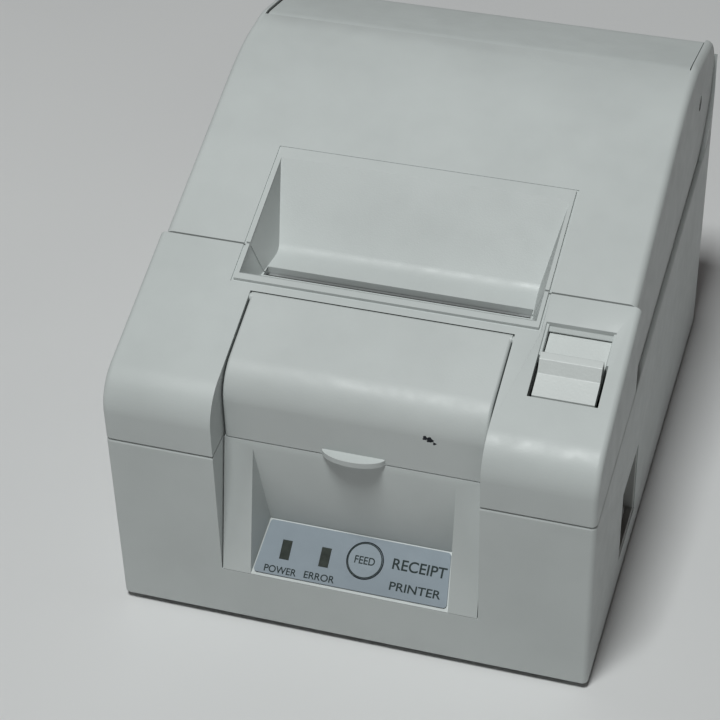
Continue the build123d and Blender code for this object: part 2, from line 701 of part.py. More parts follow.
with BuildPart() as front_cover:
    with BuildSketch(Plane.YZ) as cover_side_view:
        with BuildLine():
            corners = [
                (COVER_FACE, COVER_FOOT),
                (COVER_FACE, slope_height(COVER_FACE)),
                (COVER_PIVOT[0], slope_height(COVER_PIVOT[0])),
                (COVER_PIVOT[0], COVER_FOOT),
            ]
            Polyline(*[at(*corner) for corner in corners], close=True)
        make_face()
        y, z = at(COVER_FACE, slope_height(COVER_FACE))
        fillet(cover_side_view.vertices().sort_by_distance((y, z, 0))[0:1], radius=COVER_NOSE_RADIUS)
    extrude(cover_side_view.sketch, amount=COVER_HALF, both=True)
    cover_front = front_cover.faces().sort_by(Axis.X)
    rounded = (cover_front[0].edges() + cover_front[-1].edges()).filter_by(
        lambda edge: edge.center().Y < FRONT + COVER_PIVOT[0] - 1 and edge.center().Z > FOOT_HEIGHT + COVER_FOOT + 1
    )
    fillet(rounded, radius=1.0)
    add(cover_hollow.part, mode=Mode.SUBTRACT)
    rod((-COVER_HALF, COVER_HALF), COVER_PIVOT, COVER_BARREL)
    rod((-COVER_HALF - COVER_PIN_REACH, COVER_HALF + COVER_PIN_REACH), COVER_PIVOT, COVER_PIN_RADIUS)
    with BuildSketch(Plane.XY.offset(FOOT_HEIGHT + COVER_FOOT)) as lip:
        with Locations((0, FRONT + COVER_FACE + 0.5)):
            Ellipse(LIP_HALF, LIP_REACH)
        with Locations((0, FRONT + COVER_FACE + 6)):
            Rectangle(2 * LIP_HALF + 2, 10, mode=Mode.SUBTRACT)
    extrude(lip.sketch, amount=1.8)
finish(front_cover.part, "front_cover")

# Bezel: leaning plate with the control niche; its floor slopes up towards the back.
LABEL_ANGLE = heading((0, BAY_SILL), LABEL_END)
LABEL_LENGTH = distance((0, BAY_SILL), LABEL_END)


def on_label(along, above):
    """Point over the control label: up along its slope and above its surface."""
    return (
        along * cos(LABEL_ANGLE) - above * sin(LABEL_ANGLE),
        BAY_SILL + along * sin(LABEL_ANGLE) + above * cos(LABEL_ANGLE),
    )


def label_plane(x, along, above):
    """Plane over the label at a place on it, with its x across and its z out of the label."""
    return Plane(
        origin=(x, *at(*on_label(along, above))),
        x_dir=(1, 0, 0),
        z_dir=(0, -sin(LABEL_ANGLE), cos(LABEL_ANGLE)),
    )


with BuildPart() as bezel:
    prism(
        [
            (0.0, BAY_SILL - SILL_DROP + 0.2),
            (BEZEL_LEAN, BEZEL_TOP),
            (BEZEL_LEAN + 3, BEZEL_TOP),
            (LABEL_END[0] + 2.2, LABEL_END[1]),
            on_label(LABEL_LENGTH, -2.6),
            on_label(3.5, -2.6),
        ],
        -BAY_HALF + 0.3,
        BAY_HALF - 0.3,
    )
    with BuildPart(mode=Mode.PRIVATE) as niche:
        lean = atan2(BEZEL_LEAN, BEZEL_TOP - BAY_SILL)
        face_plane = Plane(origin=(0, *at(0, BAY_SILL)), x_dir=(1, 0, 0), z_dir=(0, -cos(lean), sin(lean)))
        with BuildSketch(face_plane) as window:
            with Locations((0, 20)):
                Rectangle(2 * NICHE_HALF, 90)
        extrude(window.sketch, amount=-30, taper=NICHE_TAPER)
        extrude(window.sketch, amount=4)
        prism(
            [
                on_label(-6, -LABEL_THICKNESS),
                on_label(LABEL_LENGTH, -LABEL_THICKNESS),
                (BEZEL_LEAN - 0.6, NICHE_TOP),
                (-6, NICHE_TOP),
            ],
            -60,
            60,
            Mode.INTERSECT,
        )
    add(niche.part, mode=Mode.SUBTRACT)
    with Locations(label_plane(FEED_X, FEED_ALONG, -4)):
        Cylinder(FEED_RADIUS + 0.3, 12, mode=Mode.SUBTRACT)
    for x in (POWER_LED_X, ERROR_LED_X):
        with Locations(label_plane(x, LED_ALONG, -4)):
            Box(LED_WIDTH, LED_LENGTH, 8, mode=Mode.SUBTRACT)
finish(bezel.part, "bezel")

with BuildPart() as control_label:
    with BuildSketch(label_plane(0, 0, -LABEL_THICKNESS)) as film:
        with BuildLine():
            shrink = tan(radians(NICHE_TAPER)) * LABEL_LENGTH * 0.66
            Polyline(
                (-NICHE_HALF + 0.6, 0.6),
                (NICHE_HALF - 0.6, 0.6),
                (NICHE_HALF - 0.6 - shrink, LABEL_LENGTH - 0.4),
                (-NICHE_HALF + 0.6 + shrink, LABEL_LENGTH - 0.4),
                close=True,
            )
        make_face()
        fillet(film.vertices(), radius=1.0)
        with Locations((FEED_X, FEED_ALONG)):
            Circle(FEED_RADIUS + 0.3, mode=Mode.SUBTRACT)
        for x in (POWER_LED_X, ERROR_LED_X):
            with Locations((x, LED_ALONG)):
                Rectangle(LED_WIDTH, LED_LENGTH, mode=Mode.SUBTRACT)
    extrude(film.sketch, amount=LABEL_THICKNESS)
finish(control_label.part, "control_label")

for x, led_name in ((POWER_LED_X, "power_light"), (ERROR_LED_X, "error_light")):
    with BuildPart() as light:
        with Locations(label_plane(x, LED_ALONG, -2.4)):
            Box(LED_WIDTH - 0.1, LED_LENGTH - 0.1, 5.0)
    finish(light.part, led_name)

with BuildPart() as panel_board:
    with Locations(label_plane(-5, 9.5, -6.2)):
        Box(46, 12.5, 1.2)
    with Locations(label_plane(FEED_X, FEED_ALONG, -4.95)):
        Box(6, 6, 1.3)
finish(panel_board.part, "panel_board")

with BuildPart() as feed_button:
    with Locations(label_plane(FEED_X, FEED_ALONG, -1.4)):
        Cylinder(FEED_RADIUS, 3.4)
    with Locations(label_plane(FEED_X, FEED_ALONG, -3.3)):
        Cylinder(1.5, 0.6)
    fillet(feed_button.edges().sort_by(Axis((0, 0, 0), (0, -sin(LABEL_ANGLE), cos(LABEL_ANGLE))))[-1], radius=0.4)
finish(feed_button.part, "feed_button")

# Opening lever: ribbed pad that pivots at its back edge, pressed down at its front.
with BuildPart() as open_lever:
    prism(
        [
            (WELL_D[0] + 0.9, slope_height(WELL_D[0] + 0.9, 2.9)),
            (WELL_D[0] + 0.9, slope_height(WELL_D[0] + 0.9, 0.5)),
            (28.4, slope_height(28.4, 0.3)),
            (30.6, slope_height(30.6, -2.3)),
            (33.2, slope_height(33.2, -2.2)),
            (34.4, slope_height(34.4, 2.6)),
            (WELL_D[1] - LEVER_END_GAP, slope_height(WELL_D[1] - LEVER_END_GAP, 3.0)),
            (WELL_D[1] - LEVER_END_GAP, slope_height(WELL_D[1] - LEVER_END_GAP, 5.6)),
            (34, slope_height(34, 5.2)),
        ],
        WELL_X[0] + LEVER_GAP,
        WELL_X[1] - LEVER_GAP,
    )
    fillet(open_lever.edges().filter_by(Axis.X).filter_by(
        lambda edge: FRONT + 28 < edge.center().Y < FRONT + 35 and edge.center().Z > FOOT_HEIGHT + 90), radius=0.5)
    rod((WELL_X[0] + LEVER_GAP, WELL_X[1] - LEVER_GAP), LEVER_PIVOT, 2.0)
    rod((WELL_X[0] - 1.4, WELL_X[1] + 1.4), LEVER_PIVOT, LEVER_PIN_RADIUS)
finish(open_lever.part, "open_lever")

# Power switch: cup in the right wall with a rocker.
SWITCH_MIDDLE = ((SWITCH_D[0] + SWITCH_D[1]) / 2, (SWITCH_H[0] + SWITCH_H[1]) / 2)
SWITCH_FACE = HALF - SWITCH_RECESS
with BuildPart() as switch_housing:
    block((HALF - SWITCH_DEPTH - 2, HALF - 0.3), (SWITCH_D[0] + 0.1, SWITCH_D[1] - 0.1),
          (SWITCH_H[0] + 0.1, SWITCH_H[1] - 0.1))
    block((SWITCH_FACE, HALF), (SWITCH_D[0] + 1.6, SWITCH_D[1] - 1.6),
          (SWITCH_H[0] + 1.6, SWITCH_H[1] - 1.6), Mode.SUBTRACT)
    block((SWITCH_FACE - 7, HALF),
          (SWITCH_MIDDLE[0] - ROCKER_HALF_WIDTH - 0.4, SWITCH_MIDDLE[0] + ROCKER_HALF_WIDTH + 0.4),
          (SWITCH_MIDDLE[1] - ROCKER_HALF_LENGTH - 1, SWITCH_MIDDLE[1] + ROCKER_HALF_LENGTH + 1), Mode.SUBTRACT)
finish(switch_housing.part, "switch_housing")

with BuildPart() as power_rocker:
    rocker_plane = Plane(
        origin=(SWITCH_FACE - 2.5, *at(*SWITCH_MIDDLE)), x_dir=(cos(radians(ROCKER_TILT)), 0, sin(radians(ROCKER_TILT))),
        z_dir=(0, -1, 0),
    )
    with BuildSketch(rocker_plane.offset(-ROCKER_HALF_WIDTH)) as rocker_outline:
        with BuildLine():
            Polyline(
                (-2.2, -ROCKER_HALF_LENGTH),
                (3.0, -ROCKER_HALF_LENGTH),
                (1.8, 0),
                (3.0, ROCKER_HALF_LENGTH),
                (-2.2, ROCKER_HALF_LENGTH),
                close=True,
            )
        make_face()
    extrude(rocker_outline.sketch, amount=2 * ROCKER_HALF_WIDTH)
    fillet(power_rocker.edges(), radius=0.4)
finish(power_rocker.part, "power_rocker")

# Base plate with its screws and feet.
with BuildPart() as base_plate:
    block((-HALF + WALL + 0.3, HALF - WALL - 0.3), (WALL + 0.3, DEPTH - WALL - 0.3), (0, BASE_THICKNESS))
    fillet(base_plate.edges().filter_by(Axis.Z).group_by(Axis.Y)[-1], radius=REAR_CORNER - WALL)
    for x in BOSS_X:
        for depth in BOSS_D:
            post(x, depth, (-1, BASE_THICKNESS + 1), SCREW_RADIUS + 0.2, Mode.SUBTRACT)
finish(base_plate.part, "base_plate")

with BuildPart() as base_screws:
    for x in BOSS_X:
        for depth in BOSS_D:
            post(x, depth, (0, 11), SCREW_RADIUS)
            post(x, depth, (-1.6, 0), SCREW_HEAD)
finish(base_screws.part, "base_screws")

with BuildPart() as rubber_feet:
    for x in (-HALF + FOOT_INSET, HALF - FOOT_INSET):
        for depth in (FOOT_INSET + 2, DEPTH - FOOT_INSET - 14):
            post(x, depth, (-FOOT_HEIGHT, 0), FOOT_RADIUS)
    fillet(rubber_feet.edges().group_by(Axis.Z)[0], radius=0.8)
finish(rubber_feet.part, "rubber_feet")

# Paper bay: half-round tub with side walls and a flange.
BIN_BACK = BIN_CENTRE[0] + BIN_RADIUS + BIN_WALL
with BuildPart() as paper_bay:
    rod((-BIN_HALF - BIN_WALL, BIN_HALF + BIN_WALL), BIN_CENTRE, BIN_RADIUS + BIN_WALL)
    block((-BIN_HALF - BIN_WALL, BIN_HALF + BIN_WALL), (85, BIN_BACK), (BIN_CENTRE[1], 94))
    prism([(66, BIN_CENTRE[1]), (66, 110), (BIN_BACK - 0.01, 110), (BIN_BACK - 0.01, 94), (150, 94), (94, 72.1),
           (85, 72.1), (85, BIN_CENTRE[1])], -60, 60, Mode.SUBTRACT)
    block((-HALF + WALL + 1.2, HALF - WALL - 1.2), (96, BIN_BACK + 2), (BIN_FLANGE, BIN_FLANGE + 2))
    rod((-BIN_HALF, BIN_HALF), BIN_CENTRE, BIN_RADIUS, Mode.SUBTRACT)
    block((-BIN_HALF, BIN_HALF), (60, BIN_BACK - BIN_WALL), (BIN_CENTRE[1], 110), Mode.SUBTRACT)
    block((-60, 60), (60, 84), (44, 110), Mode.SUBTRACT)
finish(paper_bay.part, "paper_bay")

# Mechanism frame.
with BuildPart() as mechanism_base:
    block((-FRAME_X[0], FRAME_X[0]), (24, 68), (12, 13.2))
    block((-FRAME_X[0], FRAME_X[0]), (24, 25.2), (13.2, 24))
    block((-FRAME_X[0], FRAME_X[0]), (66.8, 68), (13.2, 24))
    for x in (-36, 36):
        for depth in (30, 62):
            post(x, depth, (BASE_THICKNESS, 12), 3.0)
finish(mechanism_base.part, "mechanism_base")

FRAME_OUTLINE = [(24, 12), (90, 12), (90, 52), (84, 66), (84, 80), (80, 86), (50, 86), (46, 60), (24, 56)]
for frame_name, side in (("side_frame_right", FRAME_X), ("side_frame_left", (-FRAME_X[1], -FRAME_X[0]))):
    with BuildPart() as side_frame:
        prism(FRAME_OUTLINE, *side)
        rod(side, PLATEN, BEARING_RADIUS + 0.1, Mode.SUBTRACT)
        slot = [by_platen(-BEARING_RADIUS - 0.1, 0), by_platen(-BEARING_RADIUS - 0.6, 14),
                by_platen(BEARING_RADIUS + 1.6, 14), by_platen(BEARING_RADIUS + 0.1, 0)]
        prism(slot, *side, Mode.SUBTRACT)
        rod(side, HEAD_AXIS, PIVOT_RADIUS, Mode.SUBTRACT)
        rod(side, LOCK_SHAFT, SHAFT_RADIUS + RUNNING, Mode.SUBTRACT)
        if side[0] < 0:
            rod(side, FEED_MOTOR, 3.0, Mode.SUBTRACT)
            rod(side, IDLER, PIVOT_RADIUS, Mode.SUBTRACT)
            rod(side, REDUCER, PIVOT_RADIUS, Mode.SUBTRACT)
    finish(side_frame.part, frame_name)

# Platen: shaft, rubber, gear and bearings.
with BuildPart() as platen_shaft:
    rod((TRAIN_X - GEAR_WIDTH, 48.4), PLATEN, SHAFT_RADIUS)
finish(platen_shaft.part, "platen_shaft")

with BuildPart() as platen_rubber:
    rod((-PLATEN_HALF, PLATEN_HALF), PLATEN, PLATEN_RADIUS)
    rod((-PLATEN_HALF, PLATEN_HALF), PLATEN, SHAFT_RADIUS, Mode.SUBTRACT)
finish(platen_rubber.part, "platen_rubber")

with BuildPart() as platen_bearings:
    for side in (1, -1):
        for low, high, radius in (
            (CHEEK_X[0], CHEEK_X[1], BEARING_HUB),
            (CHEEK_X[1], FRAME_X[1] + 0.2, BEARING_RADIUS),
        ):
            span = (low, high) if side > 0 else (-high, -low)
            rod(span, PLATEN, radius)
            rod(span, PLATEN, SHAFT_RADIUS + RUNNING, Mode.SUBTRACT)
finish(platen_bearings.part, "platen_bearings")

with BuildPart() as lid_liner:
    block((-CHEEK_X[1], CHEEK_X[1]), (SLOT_BACK + 0.1, 76), (FIXED_BLADE_HEIGHT + BLADE_THICKNESS, RECESS_FLOOR - TRAY_WALL))
    for side in both(CHEEK_X):
        prism([(62, 86.5), (63, 76), (66, 71.5), (75, 71.5), (78, 76), (79, 86.5)], *side)
        rod(side, PLATEN, BEARING_HUB, Mode.SUBTRACT)
finish(lid_liner.part, "lid_liner")

with BuildPart() as fixed_blade:
    block((-BLADE_HALF, BLADE_HALF), (FIXED_BLADE_EDGE, 74),
          (FIXED_BLADE_HEIGHT, FIXED_BLADE_HEIGHT + BLADE_THICKNESS))
    chamfer(fixed_blade.edges().filter_by(Axis.X).sort_by(Axis.Y)[0], length=0.5)
finish(fixed_blade.part, "fixed_blade")

# ---------------------------------------------------------------- feed train
TRAIN_SPAN = (TRAIN_X - GEAR_WIDTH, TRAIN_X)
OUTER_SPAN = (TRAIN_X - TRAIN_STEP - GEAR_WIDTH, TRAIN_X - TRAIN_STEP)
TO_IDLER_ANGLE = heading(PLATEN, IDLER)
PLATEN_PHASE = TO_IDLER_ANGLE
IDLER_PHASE = mesh_phase(PLATEN_PHASE, PLATEN_TEETH, IDLER_TEETH, TO_IDLER_ANGLE)
SMALL_PHASE = mesh_phase(IDLER_PHASE, IDLER_TEETH, SMALL_TEETH, heading(IDLER, REDUCER))
LARGE_PHASE = heading(REDUCER, FEED_MOTOR)
PINION_PHASE = mesh_phase(LARGE_PHASE, LARGE_TEETH, PINION_TEETH, heading(REDUCER, FEED_MOTOR))

with BuildPart() as platen_gear:
    prism(gear_points(PLATEN_TEETH, PLATEN, PLATEN_PHASE), *TRAIN_SPAN)
    rod(TRAIN_SPAN, PLATEN, SHAFT_RADIUS, Mode.SUBTRACT)
finish(platen_gear.part, "platen_gear")

with BuildPart() as idler_gear:
    prism(gear_points(IDLER_TEETH, IDLER, IDLER_PHASE), *TRAIN_SPAN)
    rod(TRAIN_SPAN, IDLER, PIVOT_RADIUS + RUNNING, Mode.SUBTRACT)
finish(idler_gear.part, "idler_gear")

with BuildPart() as reduction_gear:
    prism(gear_points(SMALL_TEETH, REDUCER, SMALL_PHASE), OUTER_SPAN[1] - 0.1, TRAIN_SPAN[1])
    prism(gear_points(LARGE_TEETH, REDUCER, LARGE_PHASE), *OUTER_SPAN)
    rod((OUTER_SPAN[0], TRAIN_SPAN[1]), REDUCER, PIVOT_RADIUS + RUNNING, Mode.SUBTRACT)
finish(reduction_gear.part, "reduction_gear")

with BuildPart() as motor_pinion:
    prism(gear_points(PINION_TEETH, FEED_MOTOR, PINION_PHASE), *OUTER_SPAN)
    rod((OUTER_SPAN[0], -FRAME_X[0] - 0.4), FEED_MOTOR, PIVOT_RADIUS)
finish(motor_pinion.part, "motor_pinion")

with BuildPart() as feed_motor:
    rod((-FRAME_X[0], -FRAME_X[0] + FEED_MOTOR_LENGTH), FEED_MOTOR, FEED_MOTOR_RADIUS)
    rod((-FRAME_X[0], -FRAME_X[0] + 1.6), FEED_MOTOR, PIVOT_RADIUS + 0.1, Mode.SUBTRACT)
    fillet(feed_motor.edges().sort_by(Axis.X)[-1], radius=1.0)
finish(feed_motor.part, "feed_motor")

with BuildPart() as gear_studs:
    rod((TRAIN_SPAN[0] - 0.3, -FRAME_X[0]), IDLER, PIVOT_RADIUS)
    rod((OUTER_SPAN[0] - 0.3, -FRAME_X[0]), REDUCER, PIVOT_RADIUS)
    rod((OUTER_SPAN[0] - 1.0, OUTER_SPAN[0] - 0.3), REDUCER, PIVOT_RADIUS + 1)
finish(gear_studs.part, "gear_studs")

# ---------------------------------------------------------------- print head
with BuildPart() as print_head:
    head = [by_head(HEAD_GAP, -9), by_head(HEAD_GAP, 5), by_head(HEAD_GAP + 1, 5), by_head(HEAD_GAP + 1, -9)]
    prism(head, -HEAD_HALF, HEAD_HALF)
finish(print_head.part, "print_head")

with BuildPart() as heat_sink:
    sink = [by_head(HEAD_GAP + 1, -14), by_head(HEAD_GAP + 1, 6), by_head(5, 6), by_head(5, -14)]
    prism(sink, -HEAD_HALF - 0.5, HEAD_HALF + 0.5)
    lug = [by_head(HEAD_GAP + 1.4, -13), by_head(HEAD_GAP + 1.4, -17), by_head(5.6, -17), by_head(5, -13)]
    for side in both((28, 36)):
        prism(lug, *side)
        rod(side, HEAD_AXIS, 3.0)
        rod(side, HEAD_AXIS, PIVOT_RADIUS + RUNNING, Mode.SUBTRACT)
finish(heat_sink.part, "heat_sink")

with BuildPart() as head_pivot_shaft:
    rod((-FRAME_X[1], FRAME_X[1]), HEAD_AXIS, PIVOT_RADIUS)
finish(head_pivot_shaft.part, "head_pivot_shaft")

with BuildPart() as spring_bar:
    bar = [by_head(10, -5), by_head(10, 2), by_head(11.5, 2), by_head(11.5, -5)]
    prism(bar, -HEAD_HALF, HEAD_HALF)
    for side in ((26, 30), (-14, -10)):
        block(side, (57.4, 59.4), (13.2, 65.5))
finish(spring_bar.part, "spring_bar")

with BuildPart() as head_springs:
    for x in (-20, 20):
        for turn in range(5):
            ring_plane = Plane(
                origin=(x, *at(*by_head(5.5 + turn, -1.5))), x_dir=(1, 0, 0), z_dir=(0, *HEAD_NORMAL))
            with Locations(ring_plane):
                Torus(2.4, 0.45)
finish(head_springs.part, "head_springs")

# ---------------------------------------------------------------- lock of the paper cover
with BuildPart() as lock_shaft:
    rod((-FRAME_X[1] - 0.3, 58), LOCK_SHAFT, SHAFT_RADIUS)
    prism([(52, 58.6), (26.6, 75), (27.4, 80.4), (29.6, 80.4), (31.6, 75), (56, 63.4)], 55, 58)
finish(lock_shaft.part, "lock_shaft")

with BuildPart() as lock_hooks:
    hook = [by_platen(-24, -11), by_platen(-11, -1), by_platen(-10.5, 8.6), by_platen(-5.25, 8.6),
            by_platen(-5.25, 5.6), by_platen(-6.8, 4.0), by_platen(-6.8, -5), by_platen(-17, -15)]
    for side in both(HOOK_X):
        prism(hook, *side)
        rod(side, LOCK_SHAFT, 4.6)
        rod(side, LOCK_SHAFT, SHAFT_RADIUS, Mode.SUBTRACT)
finish(lock_hooks.part, "lock_hooks")

# ---------------------------------------------------------------- paper cutter
PITCH = pi * MODULE
RACK_LINE = CUTTER_SHAFT[1] + MODULE * RACK_PINION_TEETH / 2
with BuildPart() as moving_blade:
    with BuildSketch(Plane.XY.offset(FOOT_HEIGHT + MOVING_BLADE_HEIGHT)) as blade_plan:
        with BuildLine():
            Polyline(
                (-BLADE_HALF, FRONT + 33),
                (BLADE_HALF, FRONT + 33),
                (BLADE_HALF, FRONT + BLADE_TIP),
                (0, FRONT + BLADE_TIP - BLADE_VEE),
                (-BLADE_HALF, FRONT + BLADE_TIP),
                close=True,
            )
        make_face()
    extrude(amount=BLADE_THICKNESS)
finish(moving_blade.part, "moving_blade")

with BuildPart() as blade_carriage:
    tooth_half = PITCH / 4 - TOOTH_THINNING / 2
    slant = tan(PRESSURE)
    root_line = RACK_LINE + DEDENDUM
    for side in both((38.6, 41.4)):
        block(side, (31, 47), (root_line, MOVING_BLADE_HEIGHT))
        for tooth in range(-6, 2):
            middle = CUTTER_SHAFT[0] + (tooth + 0.5) * PITCH
            prism(
                [
                    (middle - tooth_half - DEDENDUM * slant, root_line),
                    (middle - tooth_half + ADDENDUM * slant, RACK_LINE - ADDENDUM),
                    (middle + tooth_half - ADDENDUM * slant, RACK_LINE - ADDENDUM),
                    (middle + tooth_half + DEDENDUM * slant, root_line),
                ],
                *side,
            )
    block((-41.4, 41.4), (30, 33), (root_line, MOVING_BLADE_HEIGHT))
finish(blade_carriage.part, "blade_carriage")

with BuildPart() as cutter_shaft:
    rod((-FRAME_X[0] + 0.2, CHEEK_X[1] - 0.1), CUTTER_SHAFT, 2.0)
finish(cutter_shaft.part, "cutter_shaft")

CUTTER_GEAR_SPAN = (-FRAME_X[0] + 0.3, -CHEEK_X[1] - 0.3)
CUTTER_PHASE = CUTTER_MOTOR_ANGLE
with BuildPart() as cutter_gear:
    prism(gear_points(CUTTER_TEETH, CUTTER_SHAFT, CUTTER_PHASE), *CUTTER_GEAR_SPAN)
    rod(CUTTER_GEAR_SPAN, CUTTER_SHAFT, 2.0, Mode.SUBTRACT)
finish(cutter_gear.part, "cutter_gear")

with BuildPart() as rack_pinions:
    for side in both((38.8, 41.2)):
        prism(gear_points(RACK_PINION_TEETH, CUTTER_SHAFT, pi / 2), *side)
        rod(side, CUTTER_SHAFT, 2.0, Mode.SUBTRACT)
finish(rack_pinions.part, "rack_pinions")

CUTTER_PINION_PHASE = mesh_phase(CUTTER_PHASE, CUTTER_TEETH, PINION_TEETH, CUTTER_MOTOR_ANGLE)
with BuildPart() as cutter_pinion:
    prism(gear_points(PINION_TEETH, CUTTER_MOTOR, CUTTER_PINION_PHASE), *CUTTER_GEAR_SPAN)
    rod((CUTTER_GEAR_SPAN[0], CUTTER_MOTOR_X[0] - 0.2), CUTTER_MOTOR, 1.2)
finish(cutter_pinion.part, "cutter_pinion")

with BuildPart() as cutter_motor:
    rod(CUTTER_MOTOR_X, CUTTER_MOTOR, CUTTER_MOTOR_RADIUS)
    fillet(cutter_motor.edges(), radius=0.8)
finish(cutter_motor.part, "cutter_motor")

with BuildPart() as cutter_guide:
    guide_side = [(24, 55.6), (46, 55.6), (55, 79), (55, 85.6), (36, 85.6), (24, 80)]
    for side in both(CHEEK_X):
        prism(guide_side, *side)
        rod(side, CUTTER_SHAFT, 2.0 + RUNNING, Mode.SUBTRACT)
        if side[0] < 0:
            rod(side, CUTTER_MOTOR, 1.6, Mode.SUBTRACT)
    for side in both((37.0, CHEEK_X[0])):
        block(side, (36, 57.2), (85.05, 85.6))
    block((-CHEEK_X[0], CHEEK_X[0]), (24, 44), (55.6, 56.8))
    block((-30, -22), (27, 35), (56.8, CUTTER_MOTOR[1] - CUTTER_MOTOR_RADIUS + 0.6))
    rod(CUTTER_MOTOR_X, CUTTER_MOTOR, CUTTER_MOTOR_RADIUS, Mode.SUBTRACT)
finish(cutter_guide.part, "cutter_guide")

# ---------------------------------------------------------------- boards and connectors
BOARD_D = (96.0, DEPTH - 18.0)
with BuildPart() as main_board:
    block((-56, 56), BOARD_D, (BOARD_HEIGHT, BOARD_HEIGHT + BOARD_THICKNESS))
    for x, depth, width, length, height in (
        (-20, 116, 14, 14, 1.4), (18, 122, 10, 18, 1.6), (40, 112, 12, 10, 2.4), (-44, 118, 9, 9, 5.0),
    ):
        block((x - width / 2, x + width / 2), (depth - length / 2, depth + length / 2),
              (BOARD_HEIGHT + BOARD_THICKNESS, BOARD_HEIGHT + BOARD_THICKNESS + height))
finish(main_board.part, "main_board")

with BuildPart() as board_posts:
    for x in (-50, 50):
        for depth in (BOARD_D[0] + 6, BOARD_D[1] - 6):
            post(x, depth, (BASE_THICKNESS, BOARD_HEIGHT), 2.5)
finish(board_posts.part, "board_posts")

CONNECTOR_FACE = DEPTH - WALL - 1.4
CONNECTORS = (
    ("power_inlet", -32.0, 14.0, 11.0, (10.0, 7.4)),
    ("interface_port", 0.0, 30.0, 12.0, (24.0, 7.0)),
    ("drawer_port", 33.0, 14.0, 13.0, (10.4, 8.4)),
)
with BuildPart() as connector_plate:
    block((-50, 50), (CONNECTOR_FACE - 1.2, CONNECTOR_FACE), (3, 34))
    for name, x, width, height, mouth in CONNECTORS:
        block((x - width / 2 - 0.1, x + width / 2 + 0.1), (CONNECTOR_FACE - 2, CONNECTOR_FACE + 1),
              (BOARD_HEIGHT + 1.5, BOARD_HEIGHT + 1.7 + height), Mode.SUBTRACT)
finish(connector_plate.part, "connector_plate")

for name, x, width, height, mouth in CONNECTORS:
    with BuildPart() as connector:
        low = BOARD_HEIGHT + BOARD_THICKNESS
        block((x - width / 2, x + width / 2), (CONNECTOR_FACE - 14, CONNECTOR_FACE + 0.8), (low, low + height))
        block((x - mouth[0] / 2, x + mouth[0] / 2), (CONNECTOR_FACE - 9, CONNECTOR_FACE + 2),
              (low + height / 2 - mouth[1] / 2, low + height / 2 + mouth[1] / 2), Mode.SUBTRACT)
    finish(connector.part, name)
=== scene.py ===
"""Receipt printer: moulded casing, hinged covers, control niche and the mechanism inside."""

import json
import logging
import math
from dataclasses import dataclass, field
from enum import Enum

import bmesh
import bpy
from mathutils import Matrix, Vector

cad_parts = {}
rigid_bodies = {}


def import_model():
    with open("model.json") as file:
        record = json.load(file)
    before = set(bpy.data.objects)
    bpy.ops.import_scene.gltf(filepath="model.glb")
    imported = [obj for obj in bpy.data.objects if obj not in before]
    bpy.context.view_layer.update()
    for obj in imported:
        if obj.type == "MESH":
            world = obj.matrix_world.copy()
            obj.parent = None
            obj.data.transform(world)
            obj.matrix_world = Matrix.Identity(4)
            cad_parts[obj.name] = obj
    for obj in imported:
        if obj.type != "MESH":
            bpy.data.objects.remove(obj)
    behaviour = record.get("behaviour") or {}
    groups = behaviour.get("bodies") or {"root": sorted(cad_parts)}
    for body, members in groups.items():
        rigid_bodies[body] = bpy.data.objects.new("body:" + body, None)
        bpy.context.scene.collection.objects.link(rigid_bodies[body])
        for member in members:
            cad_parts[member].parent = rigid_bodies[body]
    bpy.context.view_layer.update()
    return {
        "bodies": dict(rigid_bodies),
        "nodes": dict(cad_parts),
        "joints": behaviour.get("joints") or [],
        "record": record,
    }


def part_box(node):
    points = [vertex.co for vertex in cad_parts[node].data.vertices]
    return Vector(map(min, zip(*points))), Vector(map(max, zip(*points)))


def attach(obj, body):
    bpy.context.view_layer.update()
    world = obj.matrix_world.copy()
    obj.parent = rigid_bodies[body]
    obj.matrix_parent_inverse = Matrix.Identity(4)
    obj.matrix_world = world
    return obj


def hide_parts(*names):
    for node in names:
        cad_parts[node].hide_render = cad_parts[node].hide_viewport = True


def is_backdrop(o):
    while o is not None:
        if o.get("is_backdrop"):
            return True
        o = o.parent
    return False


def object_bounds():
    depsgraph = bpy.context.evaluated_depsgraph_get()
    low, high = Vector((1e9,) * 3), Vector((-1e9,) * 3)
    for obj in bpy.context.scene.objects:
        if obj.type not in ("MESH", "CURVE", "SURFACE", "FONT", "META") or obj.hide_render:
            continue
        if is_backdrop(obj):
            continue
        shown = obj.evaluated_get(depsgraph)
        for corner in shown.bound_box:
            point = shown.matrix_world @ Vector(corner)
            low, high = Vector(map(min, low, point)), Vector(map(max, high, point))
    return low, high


MM = 0.001
LOG = logging.getLogger("receipt_printer")
Socket = bpy.types.NodeSocket
Colour = tuple[float, float, float]
Span = tuple[float, float]
NOISE_SPAN = (0.3, 0.7)


class Body(str, Enum):
    """Names of the bodies that the pieces ride on."""

    ROOT = "root"
    PAPER_COVER = "paper_cover"
    PLATEN = "platen"
    HEAD = "head"
    FRONT_COVER = "front_cover"
    LEVER = "lever"
    FEED_KEY = "feed_key"
    ROCKER = "rocker"


# ---------------------------------------------------------------- finishes


